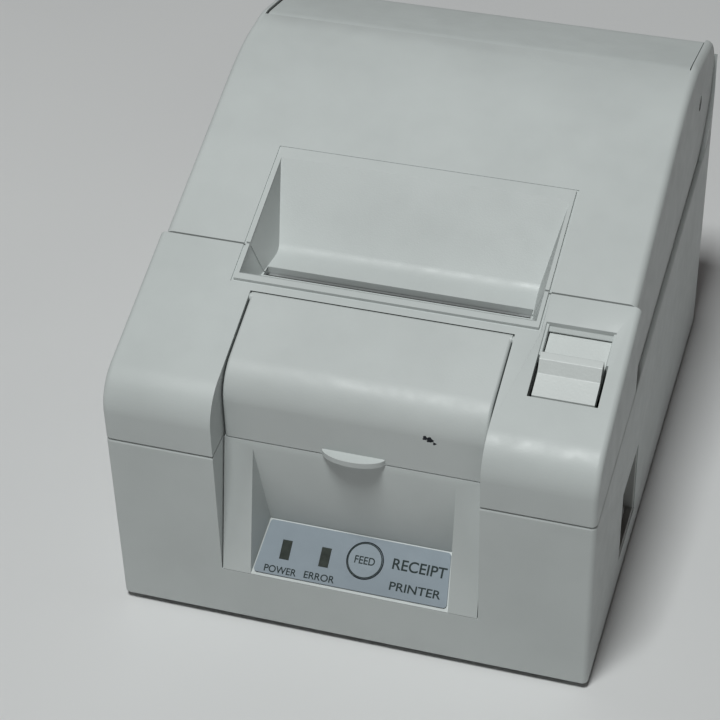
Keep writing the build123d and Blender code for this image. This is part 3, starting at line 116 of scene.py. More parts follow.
class ShaderGraph:
    """A material's node tree with short calls for the nodes that every finish uses."""

    def __init__(self, name: str) -> None:
        """Start a material with a Principled shader.

        Args:
            name: The material's name.
        """
        self.material = bpy.data.materials.new(name)
        self.material.use_nodes = True
        self.tree = self.material.node_tree
        self.tree.nodes.clear()
        self.shader = self.tree.nodes.new("ShaderNodeBsdfPrincipled")
        output = self.tree.nodes.new("ShaderNodeOutputMaterial")
        self.link(self.shader.outputs["BSDF"], output.inputs["Surface"])
        self.place = self.tree.nodes.new("ShaderNodeTexCoord").outputs["Object"]

    def link(self, source: Socket, target: Socket) -> None:
        """Join two sockets."""
        self.tree.links.new(source, target)

    def noise(self, feature: float, detail: float = 3.0, stretch: Vector | None = None) -> Socket:
        """Add a noise whose blobs have a real size.

        Args:
            feature: Size of one blob in metres.
            detail: Number of finer octaves.
            stretch: Scale along each axis, for brushed or drawn marks.

        Returns:
            The noise's value socket.
        """
        node = self.tree.nodes.new("ShaderNodeTexNoise")
        node.inputs["Scale"].default_value = 1.0 / feature
        node.inputs["Detail"].default_value = detail
        place = self.place
        if stretch is not None:
            mapping = self.tree.nodes.new("ShaderNodeMapping")
            mapping.inputs["Scale"].default_value = stretch
            self.link(place, mapping.inputs["Vector"])
            place = mapping.outputs["Vector"]
        self.link(place, node.inputs["Vector"])
        return node.outputs["Fac"]

    def cells(self, feature: float) -> Socket:
        """Add a cell pattern, such as the pits of a spark-eroded mould.

        Args:
            feature: Size of one cell in metres.

        Returns:
            The distance socket.
        """
        node = self.tree.nodes.new("ShaderNodeTexVoronoi")
        node.feature = "SMOOTH_F1"
        node.inputs["Scale"].default_value = 1.0 / feature
        self.link(self.place, node.inputs["Vector"])
        return node.outputs["Distance"]

    def ramp(self, value: Socket, low: Colour, high: Colour, span: Span = NOISE_SPAN) -> None:
        """Colour the surface between two shades.

        Args:
            value: What drives the mix.
            low: Shade at the low end.
            high: Shade at the high end.
            span: Values of the driver at the two ends.
        """
        node = self.tree.nodes.new("ShaderNodeValToRGB")
        node.color_ramp.elements[0].position = span[0]
        node.color_ramp.elements[0].color = (*low, 1.0)
        node.color_ramp.elements[1].position = span[1]
        node.color_ramp.elements[1].color = (*high, 1.0)
        self.link(value, node.inputs["Fac"])
        self.link(node.outputs["Color"], self.shader.inputs["Base Color"])

    def roughness(self, value: Socket, low: float, high: float) -> None:
        """Vary the roughness between two values.

        Args:
            value: What drives the mix.
            low: Roughness at the low end.
            high: Roughness at the high end.
        """
        node = self.tree.nodes.new("ShaderNodeMapRange")
        node.inputs["From Min"].default_value = NOISE_SPAN[0]
        node.inputs["From Max"].default_value = NOISE_SPAN[1]
        node.inputs["To Min"].default_value = low
        node.inputs["To Max"].default_value = high
        self.link(value, node.inputs["Value"])
        self.link(node.outputs["Result"], self.shader.inputs["Roughness"])

    def bump(self, layers: list[tuple[Socket, float]]) -> None:
        """Stack bump layers.

        Args:
            layers: Pairs of a height socket and its depth in metres, coarse first.
        """
        normal = None
        for height, depth in layers:
            node = self.tree.nodes.new("ShaderNodeBump")
            node.inputs["Strength"].default_value = 1.0
            node.inputs["Distance"].default_value = depth
            self.link(height, node.inputs["Height"])
            if normal is not None:
                self.link(normal, node.inputs["Normal"])
            normal = node.outputs["Normal"]
        self.link(normal, self.shader.inputs["Normal"])


def shade(colour: Colour, factor: float) -> Colour:
    """A colour made darker or lighter."""
    return tuple(min(1.0, channel * factor) for channel in colour)


@dataclass(frozen=True)
class MouldedPlastic:
    """Injection-moulded plastic with a spark-eroded skin and faint handling marks."""

    name: str
    colour: Colour
    grain: float = 0.44 * MM
    grain_depth: float = 0.016 * MM
    gloss: Span = (0.40, 0.56)
    mottling: float = 0.93

    def build(self) -> bpy.types.Material:
        """Build the material.

        Returns:
            The material.
        """
        graph = ShaderGraph(self.name)
        graph.shader.inputs["Specular IOR Level"].default_value = 0.5
        stain = graph.noise(34 * MM, 6.0)
        graph.ramp(stain, shade(self.colour, self.mottling), self.colour, (0.32, 0.62))
        pits = graph.cells(self.grain)
        grit = graph.noise(self.grain * 0.55, 2.0)
        graph.roughness(graph.noise(6 * MM, 5.0), *self.gloss)
        graph.bump([
            (pits, self.grain_depth),
            (grit, self.grain_depth * 0.8),
        ])
        return graph.material


@dataclass(frozen=True)
class SheetMetal:
    """Plated, drawn or turned metal with fine marks along one direction."""

    name: str
    colour: Colour
    stretch: tuple[float, float, float] = (1.0, 1.0, 0.04)
    gloss: Span = (0.24, 0.42)
    mark_depth: float = 0.004 * MM

    def build(self) -> bpy.types.Material:
        """Build the material.

        Returns:
            The material.
        """
        graph = ShaderGraph(self.name)
        graph.shader.inputs["Metallic"].default_value = 1.0
        marks = graph.noise(0.35 * MM, 3.0, Vector(self.stretch))
        graph.ramp(graph.noise(12 * MM, 4.0), shade(self.colour, 0.82), self.colour)
        graph.roughness(marks, *self.gloss)
        graph.bump([(marks, self.mark_depth)])
        return graph.material


@dataclass(frozen=True)
class Rubber:
    """Ground or moulded rubber with a dull dusty surface."""

    name: str
    colour: Colour

    def build(self) -> bpy.types.Material:
        """Build the material.

        Returns:
            The material.
        """
        graph = ShaderGraph(self.name)
        graph.ramp(graph.noise(7 * MM, 6.0), self.colour, shade(self.colour, 1.9), (0.40, 0.75))
        graph.roughness(graph.noise(2 * MM, 4.0), 0.62, 0.85)
        graph.bump([(graph.noise(0.28 * MM, 2.0), 0.02 * MM)])
        return graph.material


@dataclass(frozen=True)
class PrintedFilm:
    """Matt plastic film of a control label, or the ink printed on it."""

    name: str
    colour: Colour
    patch: float = 9 * MM
    gloss: Span = (0.62, 0.76)
    specular: float = 0.15

    def build(self) -> bpy.types.Material:
        """Build the material.

        Returns:
            The material.
        """
        graph = ShaderGraph(self.name)
        graph.shader.inputs["Specular IOR Level"].default_value = self.specular
        graph.ramp(graph.noise(self.patch, 5.0), shade(self.colour, 0.93), self.colour)
        graph.roughness(graph.noise(3 * MM, 4.0), *self.gloss)
        graph.bump([(graph.noise(0.22 * MM, 1.0), 0.008 * MM)])
        return graph.material


@dataclass(frozen=True)
class SmokedWindow:
    """Dark translucent light guide of an indicator."""

    name: str
    colour: Colour

    def build(self) -> bpy.types.Material:
        """Build the material.

        Returns:
            The material.
        """
        graph = ShaderGraph(self.name)
        graph.shader.inputs["Specular IOR Level"].default_value = 0.2
        graph.ramp(graph.noise(1.6 * MM, 3.0), shade(self.colour, 0.8), shade(self.colour, 1.2))
        graph.roughness(graph.noise(1.1 * MM, 2.0), 0.50, 0.62)
        graph.bump([(graph.noise(0.5 * MM, 1.0), 0.01 * MM)])
        return graph.material


@dataclass(frozen=True)
class CircuitBoard:
    """Green solder mask over copper tracks."""

    name: str
    colour: Colour

    def build(self) -> bpy.types.Material:
        """Build the material.

        Returns:
            The material.
        """
        graph = ShaderGraph(self.name)
        graph.shader.inputs["Coat Weight"].default_value = 0.35
        tracks = graph.cells(3.2 * MM)
        graph.ramp(tracks, shade(self.colour, 0.7), shade(self.colour, 1.5), (0.42, 0.50))
        graph.roughness(graph.noise(2 * MM, 3.0), 0.28, 0.42)
        graph.bump([(tracks, 0.03 * MM)])
        return graph.material


class Finish(Enum):
    """Every finish of the printer."""

    CASING = MouldedPlastic("casing_plastic", (0.550, 0.582, 0.575))
    COVER = MouldedPlastic("cover_plastic", (0.560, 0.590, 0.583))
    LEVER = MouldedPlastic("lever_plastic", (0.66, 0.69, 0.68), 0.7 * MM, 0.045 * MM, (0.34, 0.50))
    BAY = MouldedPlastic("bay_plastic", (0.36, 0.37, 0.37), 0.5 * MM, 0.02 * MM)
    BLACK = MouldedPlastic(
        "black_plastic", (0.018, 0.018, 0.019), 0.5 * MM, 0.02 * MM, (0.34, 0.5), 0.7
    )
    CUP = MouldedPlastic("switch_cup_plastic", (0.42, 0.43, 0.42), 0.5 * MM, 0.02 * MM, (0.4, 0.6))
    GEAR = MouldedPlastic("gear_acetal", (0.66, 0.64, 0.55), 0.9 * MM, 0.008 * MM, (0.28, 0.4))
    BEARING = MouldedPlastic(
        "bearing_acetal", (0.05, 0.05, 0.055), 0.9 * MM, 0.008 * MM, (0.28, 0.4)
    )
    LABEL = PrintedFilm("label_film", (0.285, 0.330, 0.370))
    KEY = PrintedFilm("key_film", (0.300, 0.347, 0.385), 4 * MM)
    INK = PrintedFilm("label_ink", (0.030, 0.042, 0.042), 2 * MM)
    SPOT = PrintedFilm("dried_ink", (0.022, 0.024, 0.030), 1 * MM)
    WINDOW = SmokedWindow("indicator_window", (0.022, 0.029, 0.023))
    CERAMIC = PrintedFilm("head_glaze", (0.52, 0.46, 0.36), 6 * MM, (0.08, 0.16), 0.5)
    ZINC = SheetMetal("zinc_sheet", (0.58, 0.59, 0.60), (1.0, 1.0, 1.0), (0.30, 0.48))
    STEEL = SheetMetal("ground_steel", (0.56, 0.56, 0.57), (0.04, 1.0, 1.0), (0.18, 0.32))
    CAN = SheetMetal("motor_can", (0.50, 0.50, 0.50), (0.05, 1.0, 1.0), (0.26, 0.42))
    ALUMINIUM = SheetMetal("extruded_aluminium", (0.66, 0.67, 0.68), (0.04, 1.0, 1.0), (0.3, 0.45))
    BRASS = SheetMetal("turned_brass", (0.62, 0.47, 0.20), (0.04, 1.0, 1.0), (0.2, 0.35))
    ROLLER = Rubber("platen_rubber", (0.016, 0.016, 0.018))
    FOOT = Rubber("foot_rubber", (0.022, 0.022, 0.022))
    BOARD = CircuitBoard("solder_mask", (0.012, 0.10, 0.045))

    def material(self) -> bpy.types.Material:
        """The finish's material, built once.

        Returns:
            The material.
        """
        found = bpy.data.materials.get(self.value.name)
        return found if found is not None else self.value.build()


# ---------------------------------------------------------------- mesh helpers


def keep(
    mesh: bpy.types.Mesh, name: str, finish: Finish, body: Body
) -> bpy.types.Object:
    """Put a finished mesh into the scene as a piece.

    Args:
        mesh: The mesh, with its place in its vertices.
        name: The piece's name.
        finish: Its finish.
        body: The body that it rides on.

    Returns:
        The piece.
    """
    piece = bpy.data.objects.new(name, mesh)
    mesh.name = name
    bpy.context.scene.collection.objects.link(piece)
    mesh.materials.clear()
    mesh.materials.append(finish.material())
    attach(piece, body.value)
    LOG.info("%s: %d faces on %s", name, len(mesh.polygons), body.value)
    return piece


MERGE_DISTANCE = 0.002 * MM
LARGEST_FACE = 60


def merged_copy(
    node: bpy.types.Object, flat_angle: float = math.radians(0.8)
) -> bpy.types.Mesh:
    """Copy a CAD mesh with its triangles joined into whole faces.

    Args:
        node: The CAD node's object.
        flat_angle: Faces that meet under this angle are joined.

    Returns:
        The new mesh.
    """
    work = bmesh.new()
    work.from_mesh(node.data)
    bmesh.ops.remove_doubles(work, verts=work.verts, dist=MERGE_DISTANCE)
    bmesh.ops.dissolve_limit(
        work, angle_limit=flat_angle, verts=work.verts, edges=work.edges, delimit={"NORMAL"}
    )
    many_sided = [face for face in work.faces if len(face.verts) > LARGEST_FACE]
    bmesh.ops.triangulate(work, faces=many_sided)
    mesh = bpy.data.meshes.new(node.name + "_whole")
    work.to_mesh(mesh)
    work.free()
    return mesh


def smooth_by_angle(mesh: bpy.types.Mesh, angle: float) -> None:
    """Shade a mesh smooth except where faces meet sharply.

    Args:
        mesh: The mesh.
        angle: The smallest angle of a sharp edge.
    """
    work = bmesh.new()
    work.from_mesh(mesh)
    for face in work.faces:
        face.smooth = True
    for edge in work.edges:
        edge.smooth = not (len(edge.link_faces) != 2 or edge.calc_face_angle(0.0) > angle)
    work.to_mesh(mesh)
    work.free()


@dataclass
class Refined:
    """A CAD node shown as a cleaned copy with softened edges."""

    node: str
    finish: Finish
    body: Body
    slot: str
    edge: float = 0.25 * MM
    sharp: float = math.radians(24)

    def build(self, frame: dict) -> bpy.types.Object:
        """Build the piece and hide the node that it stands for.


        Returns:
            The piece.
        """
        mesh = merged_copy(frame["nodes"][self.node])
        smooth_by_angle(mesh, self.sharp)
        piece = keep(mesh, self.node + "_shell", self.finish, self.body)
        if self.edge > 0:
            bevel = piece.modifiers.new("softened_edges", "BEVEL")
            bevel.width = self.edge
            bevel.segments = 2
            bevel.limit_method = "ANGLE"
            bevel.angle_limit = self.sharp
            bevel.use_clamp_overlap = True
            bevel.harden_normals = True
            bevel.miter_outer = "MITER_ARC"
        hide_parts(self.node)
        return piece


def dress(frame: dict, names: tuple[str, ...], finish: Finish) -> None:
    """Give CAD nodes a finish.

    Args:
        names: The nodes.
        finish: Their finish.
    """
    for name in names:
        node = frame["nodes"][name]
        node.data.materials.clear()
        node.data.materials.append(finish.material())
        LOG.info("%s dressed as %s", name, finish.name)


# ---------------------------------------------------------------- geometry nodes


class GrowthTree:
    """A geometry node tree with named inputs, ending in real geometry with a material."""

    def __init__(self, name: str, sizes: dict[str, float], material: bpy.types.Material) -> None:
        """Start a tree.

        Args:
            name: The tree's name.
            sizes: Named inputs with their values.
            material: The material that the result gets.
        """
        self.tree = bpy.data.node_groups.new(name, "GeometryNodeTree")
        self.sizes = sizes
        self.material = material
        face = self.tree.interface
        face.new_socket("Geometry", in_out="INPUT", socket_type="NodeSocketGeometry")
        self.identifiers = {
            label: face.new_socket(label, in_out="INPUT", socket_type="NodeSocketFloat").identifier
            for label in sizes
        }
        face.new_socket("Geometry", in_out="OUTPUT", socket_type="NodeSocketGeometry")
        self.source = self.tree.nodes.new("NodeGroupInput")

    def node(self, kind: str, **values: object) -> bpy.types.Node:
        """Add a node and fill its inputs.

        Args:
            kind: The node's type.
            **values: Inputs by name, with underscores for spaces. A socket is linked and
                any other value is set.

        Returns:
            The node.
        """
        node = self.tree.nodes.new(kind)
        for label, value in values.items():
            target = node.inputs[label.replace("_", " ")]
            if isinstance(value, bpy.types.NodeSocket):
                self.tree.links.new(value, target)
            else:
                target.default_value = value
        return node

    def size(self, label: str) -> Socket:
        """The socket of a named input."""
        return self.source.outputs[label]

    def vector(self, x: object = 0.0, y: object = 0.0, z: object = 0.0) -> Socket:
        """A vector put together from sockets or numbers."""
        return self.node("ShaderNodeCombineXYZ", X=x, Y=y, Z=z).outputs["Vector"]

    def grow(self, name: str, base: bpy.types.Mesh, result: Socket) -> bpy.types.Mesh:
        """Close the tree, run it once and return plain mesh.

        Args:
            name: The name of the new mesh.
            base: The mesh that the tree starts from.
            result: The geometry that the tree makes.

        Returns:
            The finished mesh.
        """
        real = self.node("GeometryNodeRealizeInstances", Geometry=result)
        painted = self.node("GeometryNodeSetMaterial", Geometry=real.outputs["Geometry"])
        painted.inputs["Material"].default_value = self.material
        output = self.tree.nodes.new("NodeGroupOutput")
        self.tree.links.new(painted.outputs["Geometry"], output.inputs["Geometry"])
        carrier = bpy.data.objects.new(name + "_carrier", base)
        bpy.context.scene.collection.objects.link(carrier)
        modifier = carrier.modifiers.new("growth", "NODES")
        modifier.node_group = self.tree
        for label, value in self.sizes.items():
            modifier[self.identifiers[label]] = value
        graph = bpy.context.evaluated_depsgraph_get()
        mesh = bpy.data.meshes.new_from_object(carrier.evaluated_get(graph))
        carrier.modifiers.remove(modifier)
        bpy.data.objects.remove(carrier)
        mesh.name = name
        return mesh


def point_mesh(name: str, points: list[Vector]) -> bpy.types.Mesh:
    """A mesh of loose points that a tree puts things on.

    Args:
        name: The mesh's name.
        points: The points.

    Returns:
        The mesh.
    """
    mesh = bpy.data.meshes.new(name)
    mesh.from_pydata([tuple(point) for point in points], [], [])
    return mesh


def screw_heads(name: str, points: list[Vector], radius: float, turn: Vector) -> bpy.types.Mesh:
    """Grow cross-recessed pan heads on points.

    Args:
        name: The mesh's name.
        points: The heads' centres.
        radius: The heads' radius.
        turn: Euler angles that stand a head, which points up, on its surface.

    Returns:
        The mesh.
    """
    sizes = {
        "Head radius": radius,
        "Head height": radius * 0.55,
        "Slot length": radius * 1.15,
        "Slot width": radius * 0.26,
        "Cutter height": radius * 0.7,
    }
    lift = (0, 0, radius * 0.35)
    tree = GrowthTree(name, sizes, Finish.STEEL.material())
    length, width, height = (
        tree.size(label) for label in ("Slot length", "Slot width", "Cutter height")
    )
    head = tree.node(
        "GeometryNodeMeshCylinder",
        Vertices=28,
        Radius=tree.size("Head radius"),
        Depth=tree.size("Head height"),
    )
    bar = tree.node("GeometryNodeMeshCube", Size=tree.vector(length, width, height))
    across = tree.node("GeometryNodeMeshCube", Size=tree.vector(width, length, height))
    raised = tree.node(
        "GeometryNodeTransform", Geometry=bar.outputs["Mesh"], Translation=lift
    )
    raised_too = tree.node(
        "GeometryNodeTransform", Geometry=across.outputs["Mesh"], Translation=lift
    )
    cut = tree.tree.nodes.new("GeometryNodeMeshBoolean")
    cut.operation = "DIFFERENCE"
    tree.tree.links.new(head.outputs["Mesh"], cut.inputs["Mesh 1"])
    tree.tree.links.new(raised.outputs["Geometry"], cut.inputs["Mesh 2"])
    tree.tree.links.new(raised_too.outputs["Geometry"], cut.inputs["Mesh 2"])
    spots = tree.node("GeometryNodeMeshToPoints", Mesh=tree.source.outputs["Geometry"])
    placed = tree.node("GeometryNodeInstanceOnPoints", Points=spots.outputs["Points"],
                       Instance=cut.outputs["Mesh"], Rotation=tuple(turn))
    return tree.grow(name, point_mesh(name + "_points", points), placed.outputs["Instances"])


def bars_on_points(
    name: str, points: list[Vector], size: Vector, finish: Finish
) -> bpy.types.Mesh:
    """Grow equal bars on points, such as pins or fins.

    Args:
        name: The mesh's name.
        points: The bars' centres.
        size: A bar's size along each axis.
        finish: The finish that the tree sets.

    Returns:
        The mesh.
    """
    sizes = {"Width": size.x, "Length": size.y, "Height": size.z}
    tree = GrowthTree(name, sizes, finish.material())
    bar = tree.node("GeometryNodeMeshCube",
                    Size=tree.vector(tree.size("Width"), tree.size("Length"), tree.size("Height")))
    spots = tree.node("GeometryNodeMeshToPoints", Mesh=tree.source.outputs["Geometry"])
    placed = tree.node("GeometryNodeInstanceOnPoints", Points=spots.outputs["Points"],
                       Instance=bar.outputs["Mesh"])
    return tree.grow(name, point_mesh(name + "_points", points), placed.outputs["Instances"])


def coil_springs(
    name: str, points: list[Vector], radius: float, length: float, turn: Vector
) -> bpy.types.Mesh:
    """Grow wound compression springs on points.

    Args:
        name: The mesh's name.
        points: The springs' ends.
        radius: Radius of the winding.
        length: Length of the spring.
        turn: Euler angles that lay a spring, which stands along Z, along its force.

    Returns:
        The mesh.
    """
    sizes = {"Radius": radius, "Length": length, "Wire": radius * 0.17, "Turns": 6.0}
    tree = GrowthTree(name, sizes, Finish.STEEL.material())
    spiral = tree.node(
        "GeometryNodeCurveSpiral",
        Resolution=22,
        Rotations=tree.size("Turns"),
        Start_Radius=tree.size("Radius"),
        End_Radius=tree.size("Radius"),
        Height=tree.size("Length"),
    )
    wire = tree.node("GeometryNodeCurvePrimitiveCircle", Resolution=8, Radius=tree.size("Wire"))
    body = tree.node(
        "GeometryNodeCurveToMesh",
        Curve=spiral.outputs["Curve"],
        Profile_Curve=wire.outputs["Curve"],
        Fill_Caps=True,
    )
    spots = tree.node("GeometryNodeMeshToPoints", Mesh=tree.source.outputs["Geometry"])
    placed = tree.node("GeometryNodeInstanceOnPoints", Points=spots.outputs["Points"],
                       Instance=body.outputs["Mesh"], Rotation=tuple(turn))
    return tree.grow(name, point_mesh(name + "_points", points), placed.outputs["Instances"])


# ---------------------------------------------------------------- sub-assemblies


@dataclass
class Casing:
    """The fixed shells: lower case, top case, rear cover and the bezel of the centre bay."""

    edge: float = 0.28 * MM
    bezel_edge: float = 0.15 * MM

    def build(self, frame: dict) -> None:
        """Build the shells.
        """
        for node in ("lower_case", "top_case", "rear_cover"):
            Refined(node, Finish.CASING, Body.ROOT, "casing", self.edge).build(frame)
        Refined("bezel", Finish.CASING, Body.ROOT, "casing", self.bezel_edge).build(frame)


@dataclass
class Covers:
    """The paper cover, the front cover and the lever that opens the paper cover."""

    edge: float = 0.28 * MM
    lever_edge: float = 0.2 * MM
    lip_reach: float = 3.7 * MM
    fleck_steps: int = 14
    fleck_film: Span = (0.05 * MM, -0.02 * MM)
    fleck: tuple[tuple[float, float, float], ...] = (
        (21.2 * MM, 78.6 * MM, 0.75 * MM),
        (22.6 * MM, 78.2 * MM, 0.95 * MM),
        (23.9 * MM, 77.1 * MM, 0.50 * MM),
    )

    def build(self, frame: dict) -> None:
        """Build the covers and the lever.
        """
        Refined("paper_cover", Finish.COVER, Body.PAPER_COVER, "cover", self.edge).build(frame)
        Refined("front_cover", Finish.COVER, Body.FRONT_COVER, "cover", self.edge).build(frame)
        Refined("open_lever", Finish.LEVER, Body.LEVER, "cover", self.lever_edge).build(frame)
        keep(self.ink_spot(), "ink_spot", Finish.SPOT, Body.FRONT_COVER)

    def ink_spot(self) -> bpy.types.Mesh:
        """A small ragged fleck of ink that soils the front cover's face.

        Returns:
            The mesh.
        """
        low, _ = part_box("front_cover")
        face = low.y + self.lip_reach
        steps = self.fleck_steps
        work = bmesh.new()
        for x, z, radius in self.fleck:
            rows = [[], []]
            for k in range(steps):
                angle = 2 * math.pi * k / steps
                lobes = 0.22 * math.sin(3 * angle + 9 * x / MM)
                teeth = 0.12 * math.cos(5 * angle)
                reach = radius * (1.0 + lobes + teeth)
                across = x + reach * math.cos(angle)
                upward = z + reach * math.sin(angle)
                for row, lift in zip(rows, self.fleck_film):
                    row.append(work.verts.new((across, face + lift, upward)))
            work.faces.new(rows[0])
            work.faces.new(rows[1])
            for k in range(steps):
                following = (k + 1) % steps
                corners = (rows[0][k], rows[0][following], rows[1][following], rows[1][k])
                work.faces.new(corners)
        bmesh.ops.recalc_face_normals(work, faces=work.faces)
        mesh = bpy.data.meshes.new("fleck")
        work.to_mesh(mesh)
        work.free()
        return mesh


@dataclass(frozen=True)
class Legend:
    """A printed word with the place of its middle and its size, all in millimetres."""

    words: str
    x: float
    along: float
    height: float
    width: float


@dataclass
class ControlPanel:
    """Sloping label in the niche with its legends, lights and feed key."""

    slope: float = math.atan2(29.4 - 19.2, 13.9)
    film: float = 0.6 * MM
    ink: float = 0.03 * MM
    front_margin: float = 0.6 * MM
    key_radius: float = 5.4 * MM
    key_along: float = 9.8 * MM
    key_rise: float = 0.3 * MM
    key_edge: float = 0.1 * MM
    ring_margin: float = 0.10 * MM
    ring_width: float = 0.32 * MM
    ring_steps: int = 72
    stroke_gain: float = 0.014
    half_extrusion: float = 0.004
    key_legend: Legend = Legend("FEED", 0.0, 9.8, 2.3, 6.2)
    legends: tuple[Legend, ...] = (
        Legend("POWER", -21.6, 2.2, 2.15, 10.0),
        Legend("ERROR", -9.5, 2.4, 2.15, 9.4),
        Legend("RECEIPT", 19.6, 10.6, 3.3, 16.4),
        Legend("PRINTER", 19.6, 4.0, 2.5, 15.6),
    )

    def spot(self, x: float, along: float, above: float) -> Matrix:
        """Place on the label.

        Args:
            x: Position across, in metres.
            along: Distance up the slope from the sill, in metres.
            above: Height over the film, in metres.

        Returns:
            A matrix whose XY plane lies on the label.
        """
        low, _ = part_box("control_label")
        run = along - self.front_margin
        rise = self.film + above
        y = low.y + run * math.cos(self.slope) - above * math.sin(self.slope)
        z = low.z + run * math.sin(self.slope) + rise * math.cos(self.slope)
        return Matrix.Translation((x, y, z)) @ Matrix.Rotation(self.slope, 4, "X")

    def lettering(self, legend: Legend, place: Matrix) -> bpy.types.Mesh:
        """A generic word as thin raised ink.

        Args:
            legend: The word and its size.
            place: Where the word's middle goes.

        Returns:
            The mesh.
        """
        curve = bpy.data.curves.new(legend.words + "_outline", "FONT")
        curve.body = legend.words
        curve.align_x = "CENTER"
        curve.align_y = "CENTER"
        curve.extrude = self.half_extrusion
        curve.offset = self.stroke_gain
        carrier = bpy.data.objects.new(legend.words + "_carrier", curve)
        bpy.context.scene.collection.objects.link(carrier)
        graph = bpy.context.evaluated_depsgraph_get()
        mesh = bpy.data.meshes.new_from_object(carrier.evaluated_get(graph))
        bpy.data.objects.remove(carrier)
        across = [vertex.co.x for vertex in mesh.vertices]
        upward = [vertex.co.y for vertex in mesh.vertices]
        stretch = (
            legend.width * MM / (max(across) - min(across)),
            legend.height * MM / (max(upward) - min(upward)),
            self.ink / (2 * self.half_extrusion),
            1.0,
        )
        middle = Vector((max(across) + min(across), max(upward) + min(upward), 0.0)) / 2
        mesh.transform(place @ Matrix.Diagonal(stretch) @ Matrix.Translation(-middle))
        return mesh

    def ring(self, outer: float, inner: float, place: Matrix) -> bpy.types.Mesh:
        """A thin flat ring of ink.

        Args:
            outer: The outer radius in metres.
            inner: The inner radius in metres.
            place: Where the ring's middle goes.

        Returns:
            The mesh.
        """
        work = bmesh.new()
        rows = []
        steps = self.ring_steps
        turns = [2 * math.pi * k / steps for k in range(steps)]
        for radius, lift in ((outer, 0.0), (outer, self.ink), (inner, self.ink), (inner, 0.0)):
            corners = [(radius * math.cos(turn), radius * math.sin(turn), lift) for turn in turns]
            rows.append([work.verts.new(corner) for corner in corners])
        for low_row, high_row in zip(rows, rows[1:] + rows[:1]):
            for k in range(steps):
                following = (k + 1) % steps
                corners = (low_row[k], low_row[following], high_row[following], high_row[k])
                work.faces.new(corners)
        bmesh.ops.recalc_face_normals(work, faces=work.faces)
        mesh = bpy.data.meshes.new("ring")
        work.to_mesh(mesh)
        work.free()
        mesh.transform(place)
        return mesh

    def build(self, frame: dict) -> None:
        """Build the panel.
        """
        dress(frame, ("control_label",), Finish.LABEL)
        dress(frame, ("power_light", "error_light"), Finish.WINDOW)
        dress(frame, ("panel_board",), Finish.BOARD)
        Refined("feed_button", Finish.KEY, Body.FEED_KEY, "key", self.key_edge).build(frame)
        for legend in self.legends:
            place = self.spot(legend.x * MM, legend.along * MM, self.ink / 2)
            name = "legend_" + legend.words.lower()
            keep(self.lettering(legend, place), name, Finish.INK, Body.ROOT)
        key_low, key_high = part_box("feed_button")
        top = self.spot((key_low.x + key_high.x) / 2, self.key_along, self.key_rise)
        word = self.lettering(self.key_legend, top)
        keep(word, "legend_feed", Finish.INK, Body.FEED_KEY)
        outer = self.key_radius - self.ring_margin
        ring = self.ring(outer, outer - self.ring_width, top)
        keep(ring, "feed_key_ring", Finish.INK, Body.FEED_KEY)


@dataclass
class PowerSwitch:
    """Black rocker in its cup on the right wall."""

    cup_edge: float = 0.2 * MM

    def build(self, frame: dict) -> None:
        """Build the switch.
        """
        cup = Refined("switch_housing", Finish.CUP, Body.ROOT, "switch_cup", self.cup_edge)
        cup.build(frame)
        rocker = Refined("power_rocker", Finish.BLACK, Body.ROCKER, "black_plastic", 0.0)
        rocker.build(frame)


@dataclass
class PaperBay:
    """The tub that holds the roll, and the liner over it."""

    tub_edge: float = 0.2 * MM
    liner_edge: float = 0.15 * MM

    def build(self, frame: dict) -> None:
        """Build the bay.
        """
        tub = Refined("paper_bay", Finish.BAY, Body.ROOT, "bay_plastic", self.tub_edge)
        tub.build(frame)
        liner = Refined("lid_liner", Finish.BAY, Body.PAPER_COVER, "bay_plastic", self.liner_edge)
        liner.build(frame)


@dataclass
class Mechanism:
    """Frames, motors, gears, platen, cutter and print head."""

    roller_edge: float = 0.3 * MM
    spring_radius: float = 2.4 * MM
    spring_length: float = 5.0 * MM
    spring_spread: float = 20.0 * MM
    spring_lean: float = math.radians(30)
    spring_smooth: float = math.radians(50)
    dressing: dict[Finish, tuple[str, ...]] = field(
        default_factory=lambda: {
            Finish.ZINC: (
                "mechanism_base",
                "side_frame_left",
                "side_frame_right",
                "spring_bar",
                "connector_plate",
                "base_plate",
            ),
            Finish.STEEL: (
                "platen_shaft",
                "head_pivot_shaft",
                "lock_shaft",
                "lock_hooks",
                "cutter_shaft",
                "moving_blade",
                "fixed_blade",
                "hinge_pins",
                "gear_studs",
            ),
            Finish.CAN: ("feed_motor", "cutter_motor"),
            Finish.GEAR: (
                "platen_gear",
                "idler_gear",
                "reduction_gear",
                "cutter_gear",
                "rack_pinions",
                "blade_carriage",
            ),
            Finish.BRASS: ("motor_pinion", "cutter_pinion", "board_posts"),
            Finish.BEARING: ("platen_bearings",),
            Finish.CERAMIC: ("print_head",),
            Finish.ALUMINIUM: ("heat_sink",),
            Finish.BAY: ("cutter_guide",),
        }
    )

    def build(self, frame: dict) -> None:
        """Dress the mechanism and add what repeats on it.
        """
        for finish, names in self.dressing.items():
            dress(frame, names, finish)
        roller = Refined(
            "platen_rubber", Finish.ROLLER, Body.PLATEN, "platen_rubber", self.roller_edge
        )
        roller.build(frame)
        self.springs()

    def springs(self) -> None:
        """Wind the two springs behind the print head."""
        low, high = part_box("head_springs")
        middle = (low + high) / 2
        lean = self.spring_lean
        direction = Vector((0, math.cos(lean), math.sin(lean)))
        start = middle - direction * (self.spring_length / 2)
        ends = [
            Vector((x, start.y, start.z)) for x in (-self.spring_spread, self.spring_spread)
        ]
        turn = Vector((lean - math.pi / 2, 0, 0))
        mesh = coil_springs(
            "head_spring_coils", ends, self.spring_radius, self.spring_length, turn
        )
        smooth_by_angle(mesh, self.spring_smooth)
        piece = keep(mesh, "head_spring_coils", Finish.STEEL, Body.HEAD)
        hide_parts("head_springs")


